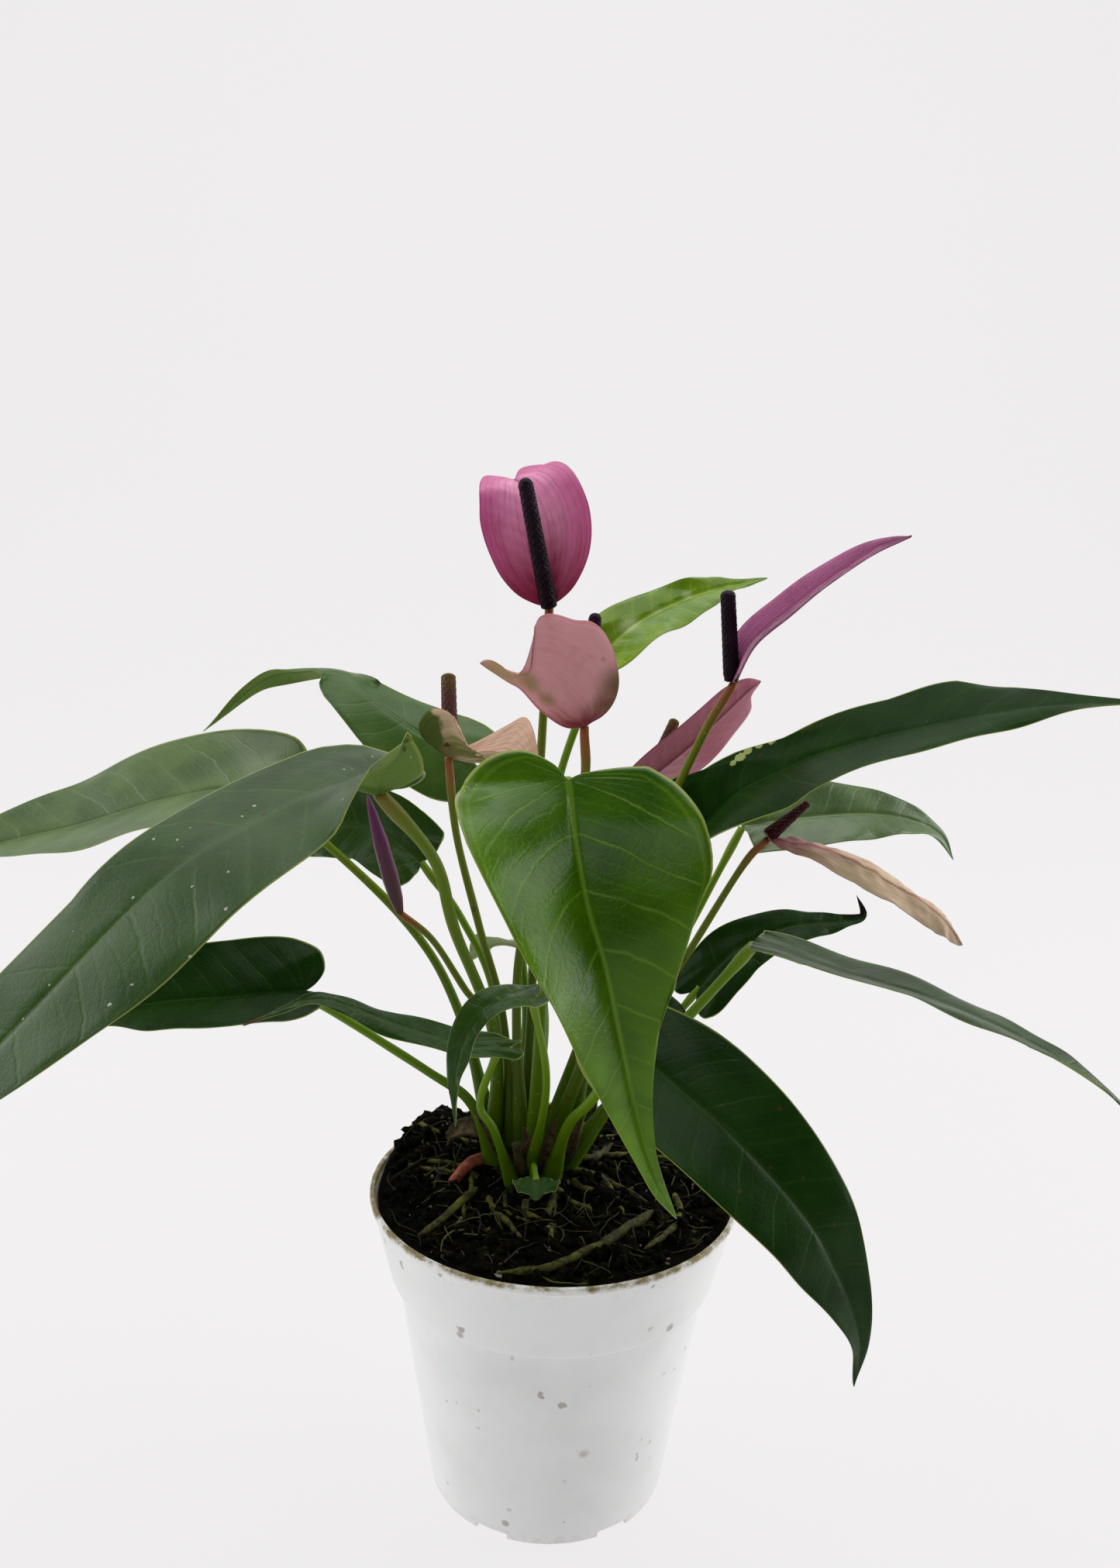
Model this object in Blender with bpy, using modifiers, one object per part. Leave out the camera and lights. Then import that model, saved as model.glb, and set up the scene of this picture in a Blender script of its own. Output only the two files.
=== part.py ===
"""A potted anthurium: seventeen leaves, six flowers and a bud on one crown, in a round nursery pot.

Metres, +Z up. The origin is the centre of the pot's flat underside, and the plant's front looks
along -Y. Sizes below are in millimetres and are scaled by MM where a mesh or a curve is made.
"""

from math import cos, hypot, pi, radians, sin

import bmesh
import bpy
import numpy as np
from mathutils import Matrix

MM = 0.001

# Pot
POT_HEIGHT = 92.0
POT_RIM_RADIUS = 52.5
POT_BASE_RADIUS = 34.4
POT_COLLAR_HEIGHT = 24.2
POT_COLLAR_RADIUS = 46.8
POT_COLLAR_STEP = 2.2
POT_WALL = 1.4
POT_FLOOR = 3.4
POT_STEPS = 40
RIM_LIP = 1.0
FOOT_ROUNDING = 1.4
DRAIN_NOTCHES = 6
DRAIN_WIDTH = 10.0
DRAIN_HEIGHT = 2.2
DRAIN_DEPTH = 2.6
DRAIN_FIRST_HEADING = 244.0

# Soil and crown
CLEARANCE = 0.35
SOIL_EDGE_DROP = 6.0
MOUND_HEIGHT = 8.0
MOUND_SPREAD = 26.0
BANK_PLACE = (-30.0, 21.0)
BANK_HEIGHT = 7.0
BANK_SPREAD = 12.0
SOIL_TOP_RINGS = 9
SOIL_SECTORS = 30
CROWN_PLACE = (-7.0, 8.0)
CROWN_RADIUS = 14.0
CROWN_HEIGHT = 6.0
CROWN_SECTORS = 18
CROWN_RINGS = 10

# Blades and stalks
BLADE_THICKNESS = 0.7
BLADE_ROWS = 11
BLADE_COLUMNS = 6
FOLD_MIDDLE = 0.3
STALK_POINTS = 10
STALK_SIDES_SETTING = 1
SPIKE_POINTS = 5
SPIKE_TIP_SHARE = 0.45

# Half outlines, from the notch at the stalk to the tip: across in half widths, along in lengths.
LEAF_OUTLINE = (
    (0.00, 0.00), (0.12, -0.05), (0.36, -0.09), (0.65, -0.075), (0.88, 0.00), (1.00, 0.14),
    (0.98, 0.28), (0.88, 0.43), (0.72, 0.57), (0.50, 0.70), (0.28, 0.81), (0.11, 0.92), (0.00, 1.00),
)
HEART_OUTLINE = (
    (0.00, 0.00), (0.12, -0.05), (0.36, -0.09), (0.65, -0.07), (0.88, 0.01), (1.00, 0.13),
    (0.92, 0.24), (0.73, 0.36), (0.53, 0.48), (0.37, 0.58), (0.25, 0.68), (0.15, 0.79),
    (0.07, 0.91), (0.00, 1.00),
)
SPATHE_OUTLINE = (
    (0.00, 0.00), (0.25, 0.03), (0.55, 0.11), (0.80, 0.24), (0.95, 0.40), (1.00, 0.56),
    (0.93, 0.72), (0.72, 0.86), (0.40, 0.95), (0.14, 0.99), (0.00, 1.00),
)
SPATHE_HEART = (
    (0.00, 0.00), (0.10, -0.14), (0.32, -0.26), (0.60, -0.26), (0.85, -0.12), (1.00, 0.10),
    (0.97, 0.30), (0.82, 0.50), (0.58, 0.68), (0.32, 0.83), (0.12, 0.94), (0.00, 1.00),
)
SPATHE_BLUNT = (
    (0.00, 0.00), (0.25, 0.03), (0.55, 0.11), (0.80, 0.24), (0.95, 0.40), (1.00, 0.56),
    (0.98, 0.72), (0.88, 0.87), (0.66, 0.96), (0.34, 0.99), (0.00, 1.00),
)
HOOD_OUTLINE = (
    (0.00, 0.00), (0.10, -0.08), (0.35, -0.14), (0.62, -0.12), (0.85, -0.02), (0.98, 0.10),
    (1.00, 0.22), (0.90, 0.32), (0.65, 0.39), (0.38, 0.45), (0.20, 0.54), (0.14, 0.66),
    (0.12, 0.80), (0.06, 0.93), (0.00, 1.00),
)

# The plant. Places are in millimetres, with heights counted up from the pot's rim.
# Each leaf: "spine" is its midrib from stalk to tip, "face" where its upper side looks at the base
# and "face_tip" at the tip, "fold" how far its left and right halves rise at the base, "fold_mid"
# past it and "fold_tip" at the tip, in degrees, and "lobe" how long its basal lobes are. "via" are
# the points its stalk passes, "foot" the stalk's distance and heading from the crown's axis, and
# "stalk" its two diameters.
LEAVES = {
    "front": dict(
        spine=((0, -62, 134), (2, -71, 122), (5, -77, 109), (9, -80, 97), (13, -80, 80),
               (18, -76, 58), (23, -72, 42), (29, -67, 29)),
        width=56, face=(0, -1, 0.15), fold=(8, 8), fold_mid=(8, 50), fold_tip=(8, 45),
        lobe=(0.3, 1.2), outline=HEART_OUTLINE,
        via=((-5, -16, 61), (-2, -44, 116)),
        foot=(5.5, 280), stalk=(3.0, 2.6),
    ),
    "left": dict(
        spine=((-47, -24, 121), (-57, -28, 123), (-73, -38, 117), (-93, -58, 106),
               (-120, -88, 78), (-148, -114, 48)),
        width=60, face=(0.1, -0.3, 1), fold=(75, 0), fold_mid=(14, -12), fold_tip=(4, 0),
        lobe=(0.6, 1),
        via=((-18, 0, 44), (-29, -8, 79), (-34, -14, 100)),
        foot=(11, 182), stalk=(2.8, 3.4),
    ),
    "left_back": dict(
        spine=((-84, 29, 105), (-97, 31, 106), (-117, 32, 102), (-142, 30, 94), (-166, 26, 88),
               (-193, 17, 79)),
        width=54, face=(-0.1, -0.3, 1), fold=(12, 12), lobe=(0.5, 0.5),
        via=((-29, 14, 46), (-46, 18, 73)),
        foot=(11, 160), stalk=(2.8, 2.4),
    ),
    "left_low": dict(
        spine=((-72, 4, 55), (-80, 2, 55), (-91, -2, 55), (-106, -6, 55), (-122, -10, 53),
               (-139, -12, 46)),
        width=36, face=(0, -0.5, 1), fold=(18, 20),
        via=((-24, 0, 24), (-37, 0, 34)),
        foot=(11, 204), stalk=(2.8, 2.2),
    ),
    "left_small": dict(
        spine=((-16, -16, 49), (-25, -18, 50), (-33, -20, 53), (-43, -22, 57), (-59, -25, 64),
               (-67, -26, 64), (-82, -28, 58)),
        width=11, face=(0, -0.5, 1), fold=(10, -10),
        via=((-17, -12, 22), (-21, -13, 31)),
        foot=(13, 250), stalk=(2.6, 2.0),
    ),
    "back_left": dict(
        spine=((-29, 42, 115), (-41, 43, 120), (-53, 45, 127), (-63, 48, 134), (-69, 54, 138),
               (-80, 59, 137), (-94, 61, 133), (-112, 58, 117)),
        width=34, face=(-0.2, -0.8, 0.5), face_tip=(0, 0.7, 0.7), fold=(5, -30),
        via=((-10, 30, 41), (-18, 38, 87)),
        foot=(11, 118), stalk=(2.8, 2.2),
    ),
    "inner_left": dict(
        spine=((-42, 31, 86), (-49, 34, 90), (-58, 38, 94), (-72, 44, 92), (-90, 50, 86),
               (-103, 52, 81)),
        width=25, face=(0.2, -0.8, 0.5), fold=(8, 8), lobe=(0.3, 0.3),
        via=((-19, 22, 47), (-29, 27, 69)),
        foot=(11, 138), stalk=(2.6, 2.2),
    ),
    "back_right": dict(
        spine=((9, 30, 149), (17, 34, 156), (26, 38, 161), (39, 42, 166), (57, 48, 170)),
        width=22, face=(-0.2, -0.6, 0.8), fold=(10, 10),
        via=((-5, 24, 44), (-3, 28, 91), (-2, 29, 113)),
        foot=(5.5, 88), stalk=(2.8, 2.2),
    ),
    "right": dict(
        spine=((38, 0, 109), (46, -6, 119), (56, -11, 126), (66, -15, 132), (85, -23, 140),
               (110, -33, 148), (134, -43, 152)),
        width=50, face=(-0.1, -0.45, 1), face_tip=(-0.1, -0.15, 1), fold=(30, 18),
        fold_mid=(0, 10), fold_tip=(0, 0),
        via=((9, 6, 38), (24, 4, 76)),
        foot=(11, 354), stalk=(2.8, 2.4),
    ),
    "right_back": dict(
        spine=((53, 40, 97), (63, 43, 98), (77, 47, 99), (92, 51, 98), (105, 54, 95),
               (115, 57, 89), (122, 59, 83)),
        width=23, face=(0, -0.8, 1), fold=(10, 10), lobe=(0, 0),
        via=((18, 26, 34), (33, 31, 58)),
        foot=(11, 38), stalk=(2.6, 2.2),
    ),
    "right_mid": dict(
        spine=((40, 14, 56), (45, 15, 62), (52, 18, 67), (66, 22, 72), (82, 28, 72),
               (89, 31, 73), (87, 33, 79)),
        width=16, face=(-0.2, -0.7, 0.6), fold=(-4, 10),
        via=((22, 14, 30),),
        foot=(11, 15), stalk=(2.6, 2.2),
    ),
    "right_low": dict(
        spine=((52, -6, 77), (59, -9, 76), (73, -18, 74), (94, -30, 72), (116, -42, 66),
               (134, -50, 57), (143, -53, 48)),
        width=22, face=(0, -0.1, 1), fold=(0, 20), fold_mid=(-6, 20), lobe=(0, 0),
        via=((22, 2, 35), (35, -1, 52)),
        foot=(11, 333), stalk=(2.8, 3.0),
    ),
    "drooping": dict(
        spine=((18, -36, 59), (30, -47, 53), (45, -59, 44), (60, -65, 29), (67, -65, 17),
               (72, -64, 6), (76, -62, -7), (76, -60, -20)),
        width=35, face=(0.3, -0.8, 0.6), fold=(8, 8),
        via=((3, -14, 25), (9, -24, 38)),
        foot=(11.5, 300), stalk=(3.0, 2.6),
    ),
    "centre_small": dict(
        spine=((-7, -34, 71), (-13, -41, 73), (-19, -46, 72), (-23, -50, 67), (-25, -52, 58),
               (-25, -52, 51), (-25, -51, 43)),
        width=9, face=(0, -0.5, 1), face_tip=(-0.4, -1, 0), fold=(15, 15),
        via=((-3, -22, 41),),
        foot=(9, 268), stalk=(2.4, 1.8),
    ),
    "right_hidden": dict(
        spine=((17, 21, 45), (27, 17, 47), (35, 8, 47), (41, 3, 44)),
        width=14, face=(0, -0.6, 0.8), fold=(10, 10),
        via=((9, 26, 31),),
        foot=(11, 60), stalk=(2.2, 1.8),
    ),
    "seedling": dict(
        spine=((-5, -18, 11), (-5, -22, 10), (-5, -25, 9)),
        width=13, face=(0, -0.5, 1), fold=(5, 5),
        via=((-6, -10, 11),),
        foot=(14, 272), stalk=(1.8, 1.4),
    ),
    "back": dict(
        spine=((-8, 52, 52), (-20, 62, 50), (-31, 70, 40)),
        width=24, face=(0, 0.4, 1), fold=(10, 10),
        via=((-4, 40, 30),),
        foot=(11, 96), stalk=(2.4, 2.0),
    ),
}

# Each flower has the same, with "cup" for a rounded hollow, "skew" for a half wider than the other,
# "spadix" where the spike inside it ends, "spike" that spike's two diameters and "lift" its gap.
FLOWERS = {
    "purple": dict(
        spine=((-6, 2, 165), (-8, 6, 174), (-10, 11, 184), (-12, 17, 192), (-14, 24, 194)),
        width=30, face=(0, -1, 0.2), face_tip=(0, -0.5, 1), fold=(15, 15), outline=SPATHE_BLUNT,
        via=((-8, 8, 43), (-8, 9, 98), (-7, 8, 131)),
        foot=(3, 120), stalk=(2.6, 2.2), spadix=(-13, -6, 198), spike=(4.7, 3.7),
        colour=(0.42, 0.07, 0.20),
    ),
    "cup": dict(
        spine=((4, -12, 137), (-1, -13, 137), (-7, -14, 141), (-12, -14, 146), (-16, -13, 148),
               (-23, -12, 152)),
        width=56, face=(0.2, 0.1, 1), fold=(30, 35), cup=(90, 70), skew=-0.12, lobe=(1.2, 0),
        outline=HOOD_OUTLINE,
        via=((-12, 0, 63), (-6, -6, 96), (4, -10, 119)),
        foot=(5.5, 240), stalk=(2.6, 2.2), spadix=(6, -8, 165), spike=(4.0, 3.2), lift=1.5,
        colour=(0.48, 0.20, 0.22),
    ),
    "violet": dict(
        spine=((43, 2, 147), (48, 2, 157), (57, 2, 165), (66, 2, 173), (77, 2, 181), (87, 2, 186)),
        width=12, face=(-0.6, -0.3, 0.7), fold=(35, 35),
        via=((12, -4, 56), (23, -4, 101), (35, 0, 131)),
        foot=(5.5, 320), stalk=(2.6, 2.2), spadix=(40, -1, 171), spike=(4.3, 3.8),
        colour=(0.24, 0.05, 0.16),
    ),
    "rose": dict(
        spine=((24, 26, 115), (33, 25, 123), (42, 25, 132), (50, 26, 140), (54, 28, 143)),
        width=28, face=(-0.3, 0.7, 0.6), fold=(10, 10), skew=-0.3, outline=SPATHE_HEART,
        via=((13, 26, 56), (23, 27, 92)),
        foot=(5.5, 48), stalk=(2.4, 2.0), spadix=(31, 34, 130), spike=(3.6, 3.0),
        colour=(0.40, 0.12, 0.17),
    ),
    "green": dict(
        spine=((-31, -8, 127), (-25, -9, 126), (-17, -11, 126), (-7, -14, 125)),
        width=27, face=(0, 0, 1), fold=(45, 15), fold_mid=(45, 0), cup=(0, 120), lobe=(1, 1.6),
        outline=SPATHE_HEART,
        via=((-16, 4, 49), (-23, 0, 78), (-29, -4, 104)),
        foot=(5.5, 200), stalk=(2.4, 2.0), spadix=(-32, 0, 147), spike=(4.2, 3.8), lift=1.5,
        colour=(0.30, 0.32, 0.12),
    ),
    "faded": dict(
        spine=((54, -4, 106), (69, -10, 105), (85, -14, 98), (98, -16, 90), (105, -17, 82)),
        width=10, face=(0, -0.3, 1), fold=(-20, -20),
        via=((17, 10, 39), (31, 8, 60), (48, 0, 96)),
        foot=(5.5, 8), stalk=(2.4, 2.0), spadix=(65, 0, 115), spike=(3.6, 3.0),
        colour=(0.42, 0.26, 0.19),
    ),
}

# The bud: its foot and tip, its two diameters, and its stalk as above.
BUD = dict(
    base=(-45, 4, 79), tip=(-54, 5, 112), bud=(4.6, 2.0),
    via=((-18, 8, 42), (-27, 7, 56), (-36, 5, 71)),
    foot=(6, 162), stalk=(2.2, 1.9), colour=(0.20, 0.08, 0.17),
)

# Roots that lie on the soil: the places that each one passes over, and its two diameters.
ROOTS = {
    "front": dict(
        route=((-14, -46), (-2, -43), (5, -38), (13, -31), (20, -23), (27, -15)), thick=(2.0, 2.8)
    ),
    "left": dict(route=((-36, -29), (-31, -22), (-26, -14), (-22, -8)), thick=(1.8, 2.4)),
    "right": dict(route=((24, -32), (31, -24), (35, -14), (34, -4)), thick=(1.6, 2.2)),
}

# Colours, as red, green and blue
POT_WHITE = (0.80, 0.81, 0.81)
SOIL_BROWN = (0.030, 0.024, 0.015)
CROWN_BROWN = (0.10, 0.09, 0.04)
ROOT_GREEN = (0.16, 0.16, 0.06)
LEAF_GREEN = (0.045, 0.14, 0.03)
BRIGHT_GREEN = (0.12, 0.28, 0.03)
PETIOLE_GREEN = (0.16, 0.26, 0.05)
PEDUNCLE_OLIVE = (0.26, 0.18, 0.05)
SPADIX_PURPLE = (0.05, 0.012, 0.04)


def clear_scene():
    for item in list(bpy.data.objects):
        bpy.data.objects.remove(item, do_unlink=True)


def material(name, colour, roughness, metallic=0.0):
    """One Principled material, made once and then shared by name."""
    found = bpy.data.materials.get(name)
    if found:
        return found
    made = bpy.data.materials.new(name)
    made.use_nodes = True
    shader = made.node_tree.nodes["Principled BSDF"]
    shader.inputs["Base Color"].default_value = (*colour, 1.0)
    shader.inputs["Roughness"].default_value = roughness
    shader.inputs["Metallic"].default_value = metallic
    made.diffuse_color = (*colour, 1.0)
    return made


def add_object(name, data, look):
    made = bpy.data.objects.new(name, data)
    bpy.context.scene.collection.objects.link(made)
    made.data.materials.append(look)
    return made


def mesh_object(name, bm, look, crease=40.0):
    """Turns a bmesh in millimetres into an object in metres, shaded smooth between sharp edges."""
    bmesh.ops.scale(bm, vec=(MM, MM, MM), verts=bm.verts)
    bmesh.ops.recalc_face_normals(bm, faces=bm.faces)
    mesh = bpy.data.meshes.new(name)
    bm.to_mesh(mesh)
    bm.free()
    mesh.shade_smooth()
    mesh.set_sharp_from_angle(angle=radians(crease))
    return add_object(name, mesh, look)


def smooth_curve(points, count):
    """Points at even spacing on a smooth curve through the given ones."""
    knots = np.array(points, float)
    knots = np.vstack([2 * knots[0] - knots[1], knots, 2 * knots[-1] - knots[-2]])
    share = np.linspace(0, 1, 16, endpoint=False)[:, None]
    runs = []
    for before, start, end, after in zip(knots, knots[1:], knots[2:], knots[3:]):
        runs.append(0.5 * (2 * start + (end - before) * share
                           + (2 * before - 5 * start + 4 * end - after) * share**2
                           + (3 * start - before - 3 * end + after) * share**3))
    dense = np.vstack([*runs, knots[-2]])
    passed = np.r_[0, np.cumsum(np.linalg.norm(np.diff(dense, axis=0), axis=1))]
    wanted = np.linspace(0, passed[-1], count)
    return np.stack([np.interp(wanted, passed, column) for column in dense.T], axis=1)


def above_rim(points):
    """Places given from the pot's rim upwards, as places above its underside."""
    return np.array(points, float) + (0.0, 0.0, POT_HEIGHT)


def unit(vectors):
    return vectors / np.maximum(np.linalg.norm(vectors, axis=-1, keepdims=True), 1e-9)


class Blade:
    """A leaf or spathe: its midrib, its frame along the midrib, and its points."""

    SAMPLES = 101

    def __init__(self, row, outline):
        self.path = smooth_curve(above_rim(row["spine"]), self.SAMPLES)
        self.length = np.linalg.norm(np.diff(self.path, axis=0), axis=1).sum()
        self.ahead = unit(np.gradient(self.path, axis=0))
        share = np.linspace(0, 1, self.SAMPLES)[:, None]
        base_face = np.array(row["face"], float)
        tip_face = np.array(row.get("face_tip", row["face"]), float)
        looks = unit(base_face) * (1 - share) + unit(tip_face) * share
        self.up = unit(looks - (looks * self.ahead).sum(1, keepdims=True) * self.ahead)
        self.right = np.cross(self.ahead, self.up)
        self.half_width = row["width"] / 2
        base = row["fold"]
        middle = row.get("fold_mid", base)
        tip = row.get("fold_tip", middle)
        self.folds = [[radians(stage[side]) for stage in (base, middle, tip)] for side in (0, 1)]
        self.cup = [radians(bend) for bend in row.get("cup", (0.0, 0.0))]
        self.skew = row.get("skew", 0.0)
        self.lobe = row.get("lobe", (1.0, 1.0))
        self.outline = smooth_curve(row.get("outline", outline), self.SAMPLES)

    def fold_at(self, place, side):
        base, middle, tip = self.folds[side]
        if place < FOLD_MIDDLE:
            return middle + (base - middle) * (1 - place / FOLD_MIDDLE) ** 2
        return middle + (tip - middle) * (place - FOLD_MIDDLE) / (1 - FOLD_MIDDLE)

    def point(self, along, across):
        """along runs from the notch to the tip, across from -1 at the left margin to 1 at the right."""
        edge_x, edge_y = self.outline[round(along * (self.SAMPLES - 1))]
        side = 0 if across < 0 else 1
        if edge_y < 0:
            edge_y *= self.lobe[side]
        reach = abs(across)
        forward = (1 - reach) * along + reach * edge_y
        out = reach * edge_x * self.half_width
        place = min(max(forward, 0.0), 1.0)
        index = round(place * (self.SAMPLES - 1))
        rise = self.fold_at(place, side) + self.cup[side] * reach * edge_x / 2
        sign = -1 if across < 0 else 1
        out *= 1 + sign * self.skew
        return (self.path[index] + self.ahead[index] * min(forward, 0.0) * self.length
                + self.right[index] * sign * out * cos(rise) + self.up[index] * out * sin(rise))

    def stalk_end(self, stalk_before, radius, side, lift=0.0):
        """Where a stalk of this radius ends at the notch, just clear of the blade.

        side is -1 for its underside and 1 for its upper side.
        """
        heading = unit(above_rim(stalk_before) - self.path[0])
        slant = np.linalg.norm(np.cross(heading, self.up[0]))
        offset = BLADE_THICKNESS / 2 + CLEARANCE + radius * slant + lift
        return tuple(self.path[0] + side * self.up[0] * offset)


def add_blade(name, blade, look):
    bm = bmesh.new()
    bmesh.ops.create_grid(bm, x_segments=BLADE_ROWS, y_segments=BLADE_COLUMNS, size=0.5)
    for vert in bm.verts:
        vert.co = blade.point(vert.co.x + 0.5, vert.co.y * 2)
    bmesh.ops.remove_doubles(bm, verts=bm.verts, dist=0.01)
    made = mesh_object(name, bm, look)
    sheet = made.modifiers.new("Thickness", "SOLIDIFY")
    sheet.thickness = BLADE_THICKNESS * MM
    sheet.offset = 0.0
    return made


def add_rod(name, points, diameters, look, blunt=False):
    """A round stalk through the points, tapering from one diameter to the other."""
    data = bpy.data.curves.new(name, "CURVE")
    data.dimensions = "3D"
    data.bevel_depth = MM / 2
    data.bevel_resolution = STALK_SIDES_SETTING
    data.use_fill_caps = True
    spline = data.splines.new("POLY")
    spline.points.add(len(points) - 1)
    for index, (knot, place) in enumerate(zip(spline.points, points)):
        share = index / (len(points) - 1)
        knot.co = (*(MM * value for value in place), 1.0)
        knot.radius = diameters[0] * (1 - share) + diameters[1] * share
        if blunt and index == len(points) - 1:
            knot.radius *= SPIKE_TIP_SHARE
    return add_object(name, data, look)


def mix(low, high, share):
    return low * (1 - share) + high * share


def soil_height(x, y):
    """The soil's surface: level at the rim, mounded at the crown and banked up at the back left."""
    mound = hypot(x - CROWN_PLACE[0], y - CROWN_PLACE[1]) / MOUND_SPREAD
    bank = hypot(x - BANK_PLACE[0], y - BANK_PLACE[1]) / BANK_SPREAD
    return (POT_HEIGHT - SOIL_EDGE_DROP + MOUND_HEIGHT * np.exp(-mound**2)
            + BANK_HEIGHT * np.exp(-bank**2))


def crown_height(x, y):
    reach = min(hypot(x - CROWN_PLACE[0], y - CROWN_PLACE[1]) / CROWN_RADIUS, 1.0)
    return soil_height(x, y) + CLEARANCE + CROWN_HEIGHT * (1 - reach**2)


def foot_of(row):
    """Where a stalk starts on the crown, just clear of the highest point under it."""
    distance, heading = row["foot"]
    x = CROWN_PLACE[0] + distance * cos(radians(heading))
    y = CROWN_PLACE[1] + distance * sin(radians(heading))
    inner = max(distance - row["stalk"][0] / 2, 0.0) / max(distance, 0.1)
    top = crown_height(mix(CROWN_PLACE[0], x, inner), mix(CROWN_PLACE[1], y, inner))
    return (x, y, top + CLEARANCE)


def add_stalk(name, row, end, look):
    route = smooth_curve((foot_of(row), *above_rim(row["via"]), end), STALK_POINTS)
    add_rod(name, route, row["stalk"], look)


def pot_profile():
    """Half section of the pot: (radius, height) from the underside's centre round to the floor's."""
    collar_bottom = POT_HEIGHT - POT_COLLAR_HEIGHT
    neck = POT_COLLAR_RADIUS - POT_COLLAR_STEP
    return (
        (0.0, 0.0),
        (POT_BASE_RADIUS - FOOT_ROUNDING, 0.0),
        (POT_BASE_RADIUS, FOOT_ROUNDING),
        (neck, collar_bottom),
        (POT_COLLAR_RADIUS, collar_bottom + POT_WALL / 2),
        (POT_RIM_RADIUS, POT_HEIGHT - RIM_LIP),
        (POT_RIM_RADIUS - POT_WALL / 3, POT_HEIGHT),
        (POT_RIM_RADIUS - POT_WALL, POT_HEIGHT - RIM_LIP / 2),
        (POT_COLLAR_RADIUS - POT_WALL, collar_bottom + 2 * POT_WALL),
        (neck - POT_WALL, collar_bottom - POT_WALL),
        (POT_BASE_RADIUS - POT_WALL, POT_FLOOR + FOOT_ROUNDING),
        (POT_BASE_RADIUS - POT_WALL - FOOT_ROUNDING, POT_FLOOR),
        (0.0, POT_FLOOR),
    )


def drain_cutter():
    """Hidden boxes that notch the foot of the pot all round."""
    bm = bmesh.new()
    for index in range(DRAIN_NOTCHES):
        heading = radians(DRAIN_FIRST_HEADING + 360.0 / DRAIN_NOTCHES * index)
        made = bmesh.ops.create_cube(bm, size=1.0)["verts"]
        size = Matrix.Diagonal((2 * DRAIN_DEPTH, DRAIN_WIDTH, 2 * DRAIN_HEIGHT, 1.0))
        place = Matrix.Rotation(heading, 4, "Z") @ Matrix.Translation((POT_BASE_RADIUS, 0.0, 0.0))
        bmesh.ops.transform(bm, matrix=place @ size, verts=made)
    cutter = mesh_object("drain_cutter", bm, material("Pot plastic", POT_WHITE, 0.4))
    cutter.hide_render = True
    return cutter


def add_pot(look):
    bm = bmesh.new()
    verts = [bm.verts.new((radius, 0.0, height)) for radius, height in pot_profile()]
    for start, end in zip(verts, verts[1:]):
        bm.edges.new((start, end))
    bmesh.ops.scale(bm, vec=(MM, MM, MM), verts=bm.verts)
    mesh = bpy.data.meshes.new("pot")
    bm.to_mesh(mesh)
    bm.free()
    pot = add_object("pot", mesh, look)
    turn = pot.modifiers.new("Turn", "SCREW")
    turn.axis = "Z"
    turn.steps = turn.render_steps = POT_STEPS
    turn.use_merge_vertices = True
    turn.merge_threshold = 0.00001
    turn.use_normal_calculate = True
    cut = pot.modifiers.new("Drain notches", "BOOLEAN")
    cut.operation = "DIFFERENCE"
    cut.solver = "EXACT"
    cut.object = drain_cutter()


def inner_radius(height):
    """The pot's inside radius at a height."""
    inside = sorted((z, radius) for radius, z in pot_profile()[7:12])
    return float(np.interp(height, [z for z, _ in inside], [radius for _, radius in inside]))


def add_soil(look):
    """The root ball: its top follows soil_height, and its sides and floor the pot's inside."""
    collar_bottom = POT_HEIGHT - POT_COLLAR_HEIGHT
    edge = inner_radius(POT_HEIGHT - SOIL_EDGE_DROP) - CLEARANCE
    shoulder, neck = collar_bottom + 2 * POT_WALL, collar_bottom - POT_WALL
    foot = POT_FLOOR + FOOT_ROUNDING
    lower = (
        (inner_radius(shoulder) - CLEARANCE, shoulder),
        (inner_radius(neck) - CLEARANCE, neck),
        (inner_radius(foot) - CLEARANCE, foot + CLEARANCE),
        (inner_radius(POT_FLOOR) - CLEARANCE, POT_FLOOR + CLEARANCE),
        (0.0, POT_FLOOR + CLEARANCE),
    )
    rings = SOIL_TOP_RINGS + len(lower)
    bm = bmesh.new()
    bmesh.ops.create_uvsphere(bm, u_segments=SOIL_SECTORS, v_segments=rings, radius=1.0)
    for vert in bm.verts:
        ring = round(np.arccos(np.clip(vert.co.z, -1, 1)) / pi * rings)
        spread = hypot(vert.co.x, vert.co.y) or 1.0
        on_top = ring <= SOIL_TOP_RINGS
        radius = edge * ring / SOIL_TOP_RINGS if on_top else lower[ring - SOIL_TOP_RINGS - 1][0]
        x, y = vert.co.x / spread * radius, vert.co.y / spread * radius
        height = soil_height(x, y) if on_top else lower[ring - SOIL_TOP_RINGS - 1][1]
        vert.co = (x, y, height)
    return mesh_object("soil", bm, look)


def add_crown(look):
    """The short rootstock that every stalk leaves, seated on the soil."""
    bm = bmesh.new()
    bmesh.ops.create_uvsphere(bm, u_segments=CROWN_SECTORS, v_segments=CROWN_RINGS, radius=1.0)
    for vert in bm.verts:
        x = CROWN_PLACE[0] + CROWN_RADIUS * vert.co.x
        y = CROWN_PLACE[1] + CROWN_RADIUS * vert.co.y
        upper = vert.co.z > 1e-6
        vert.co = (x, y, crown_height(x, y) if upper else soil_height(x, y) + CLEARANCE)
    return mesh_object("crown", bm, look)


def add_root(name, row, look):
    width = max(row["thick"])
    places = smooth_curve(row["route"], STALK_POINTS)
    route = [(x, y, soil_height(x, y) + width / 2 + CLEARANCE) for x, y in places]
    add_rod(name, route, row["thick"], look)


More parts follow.
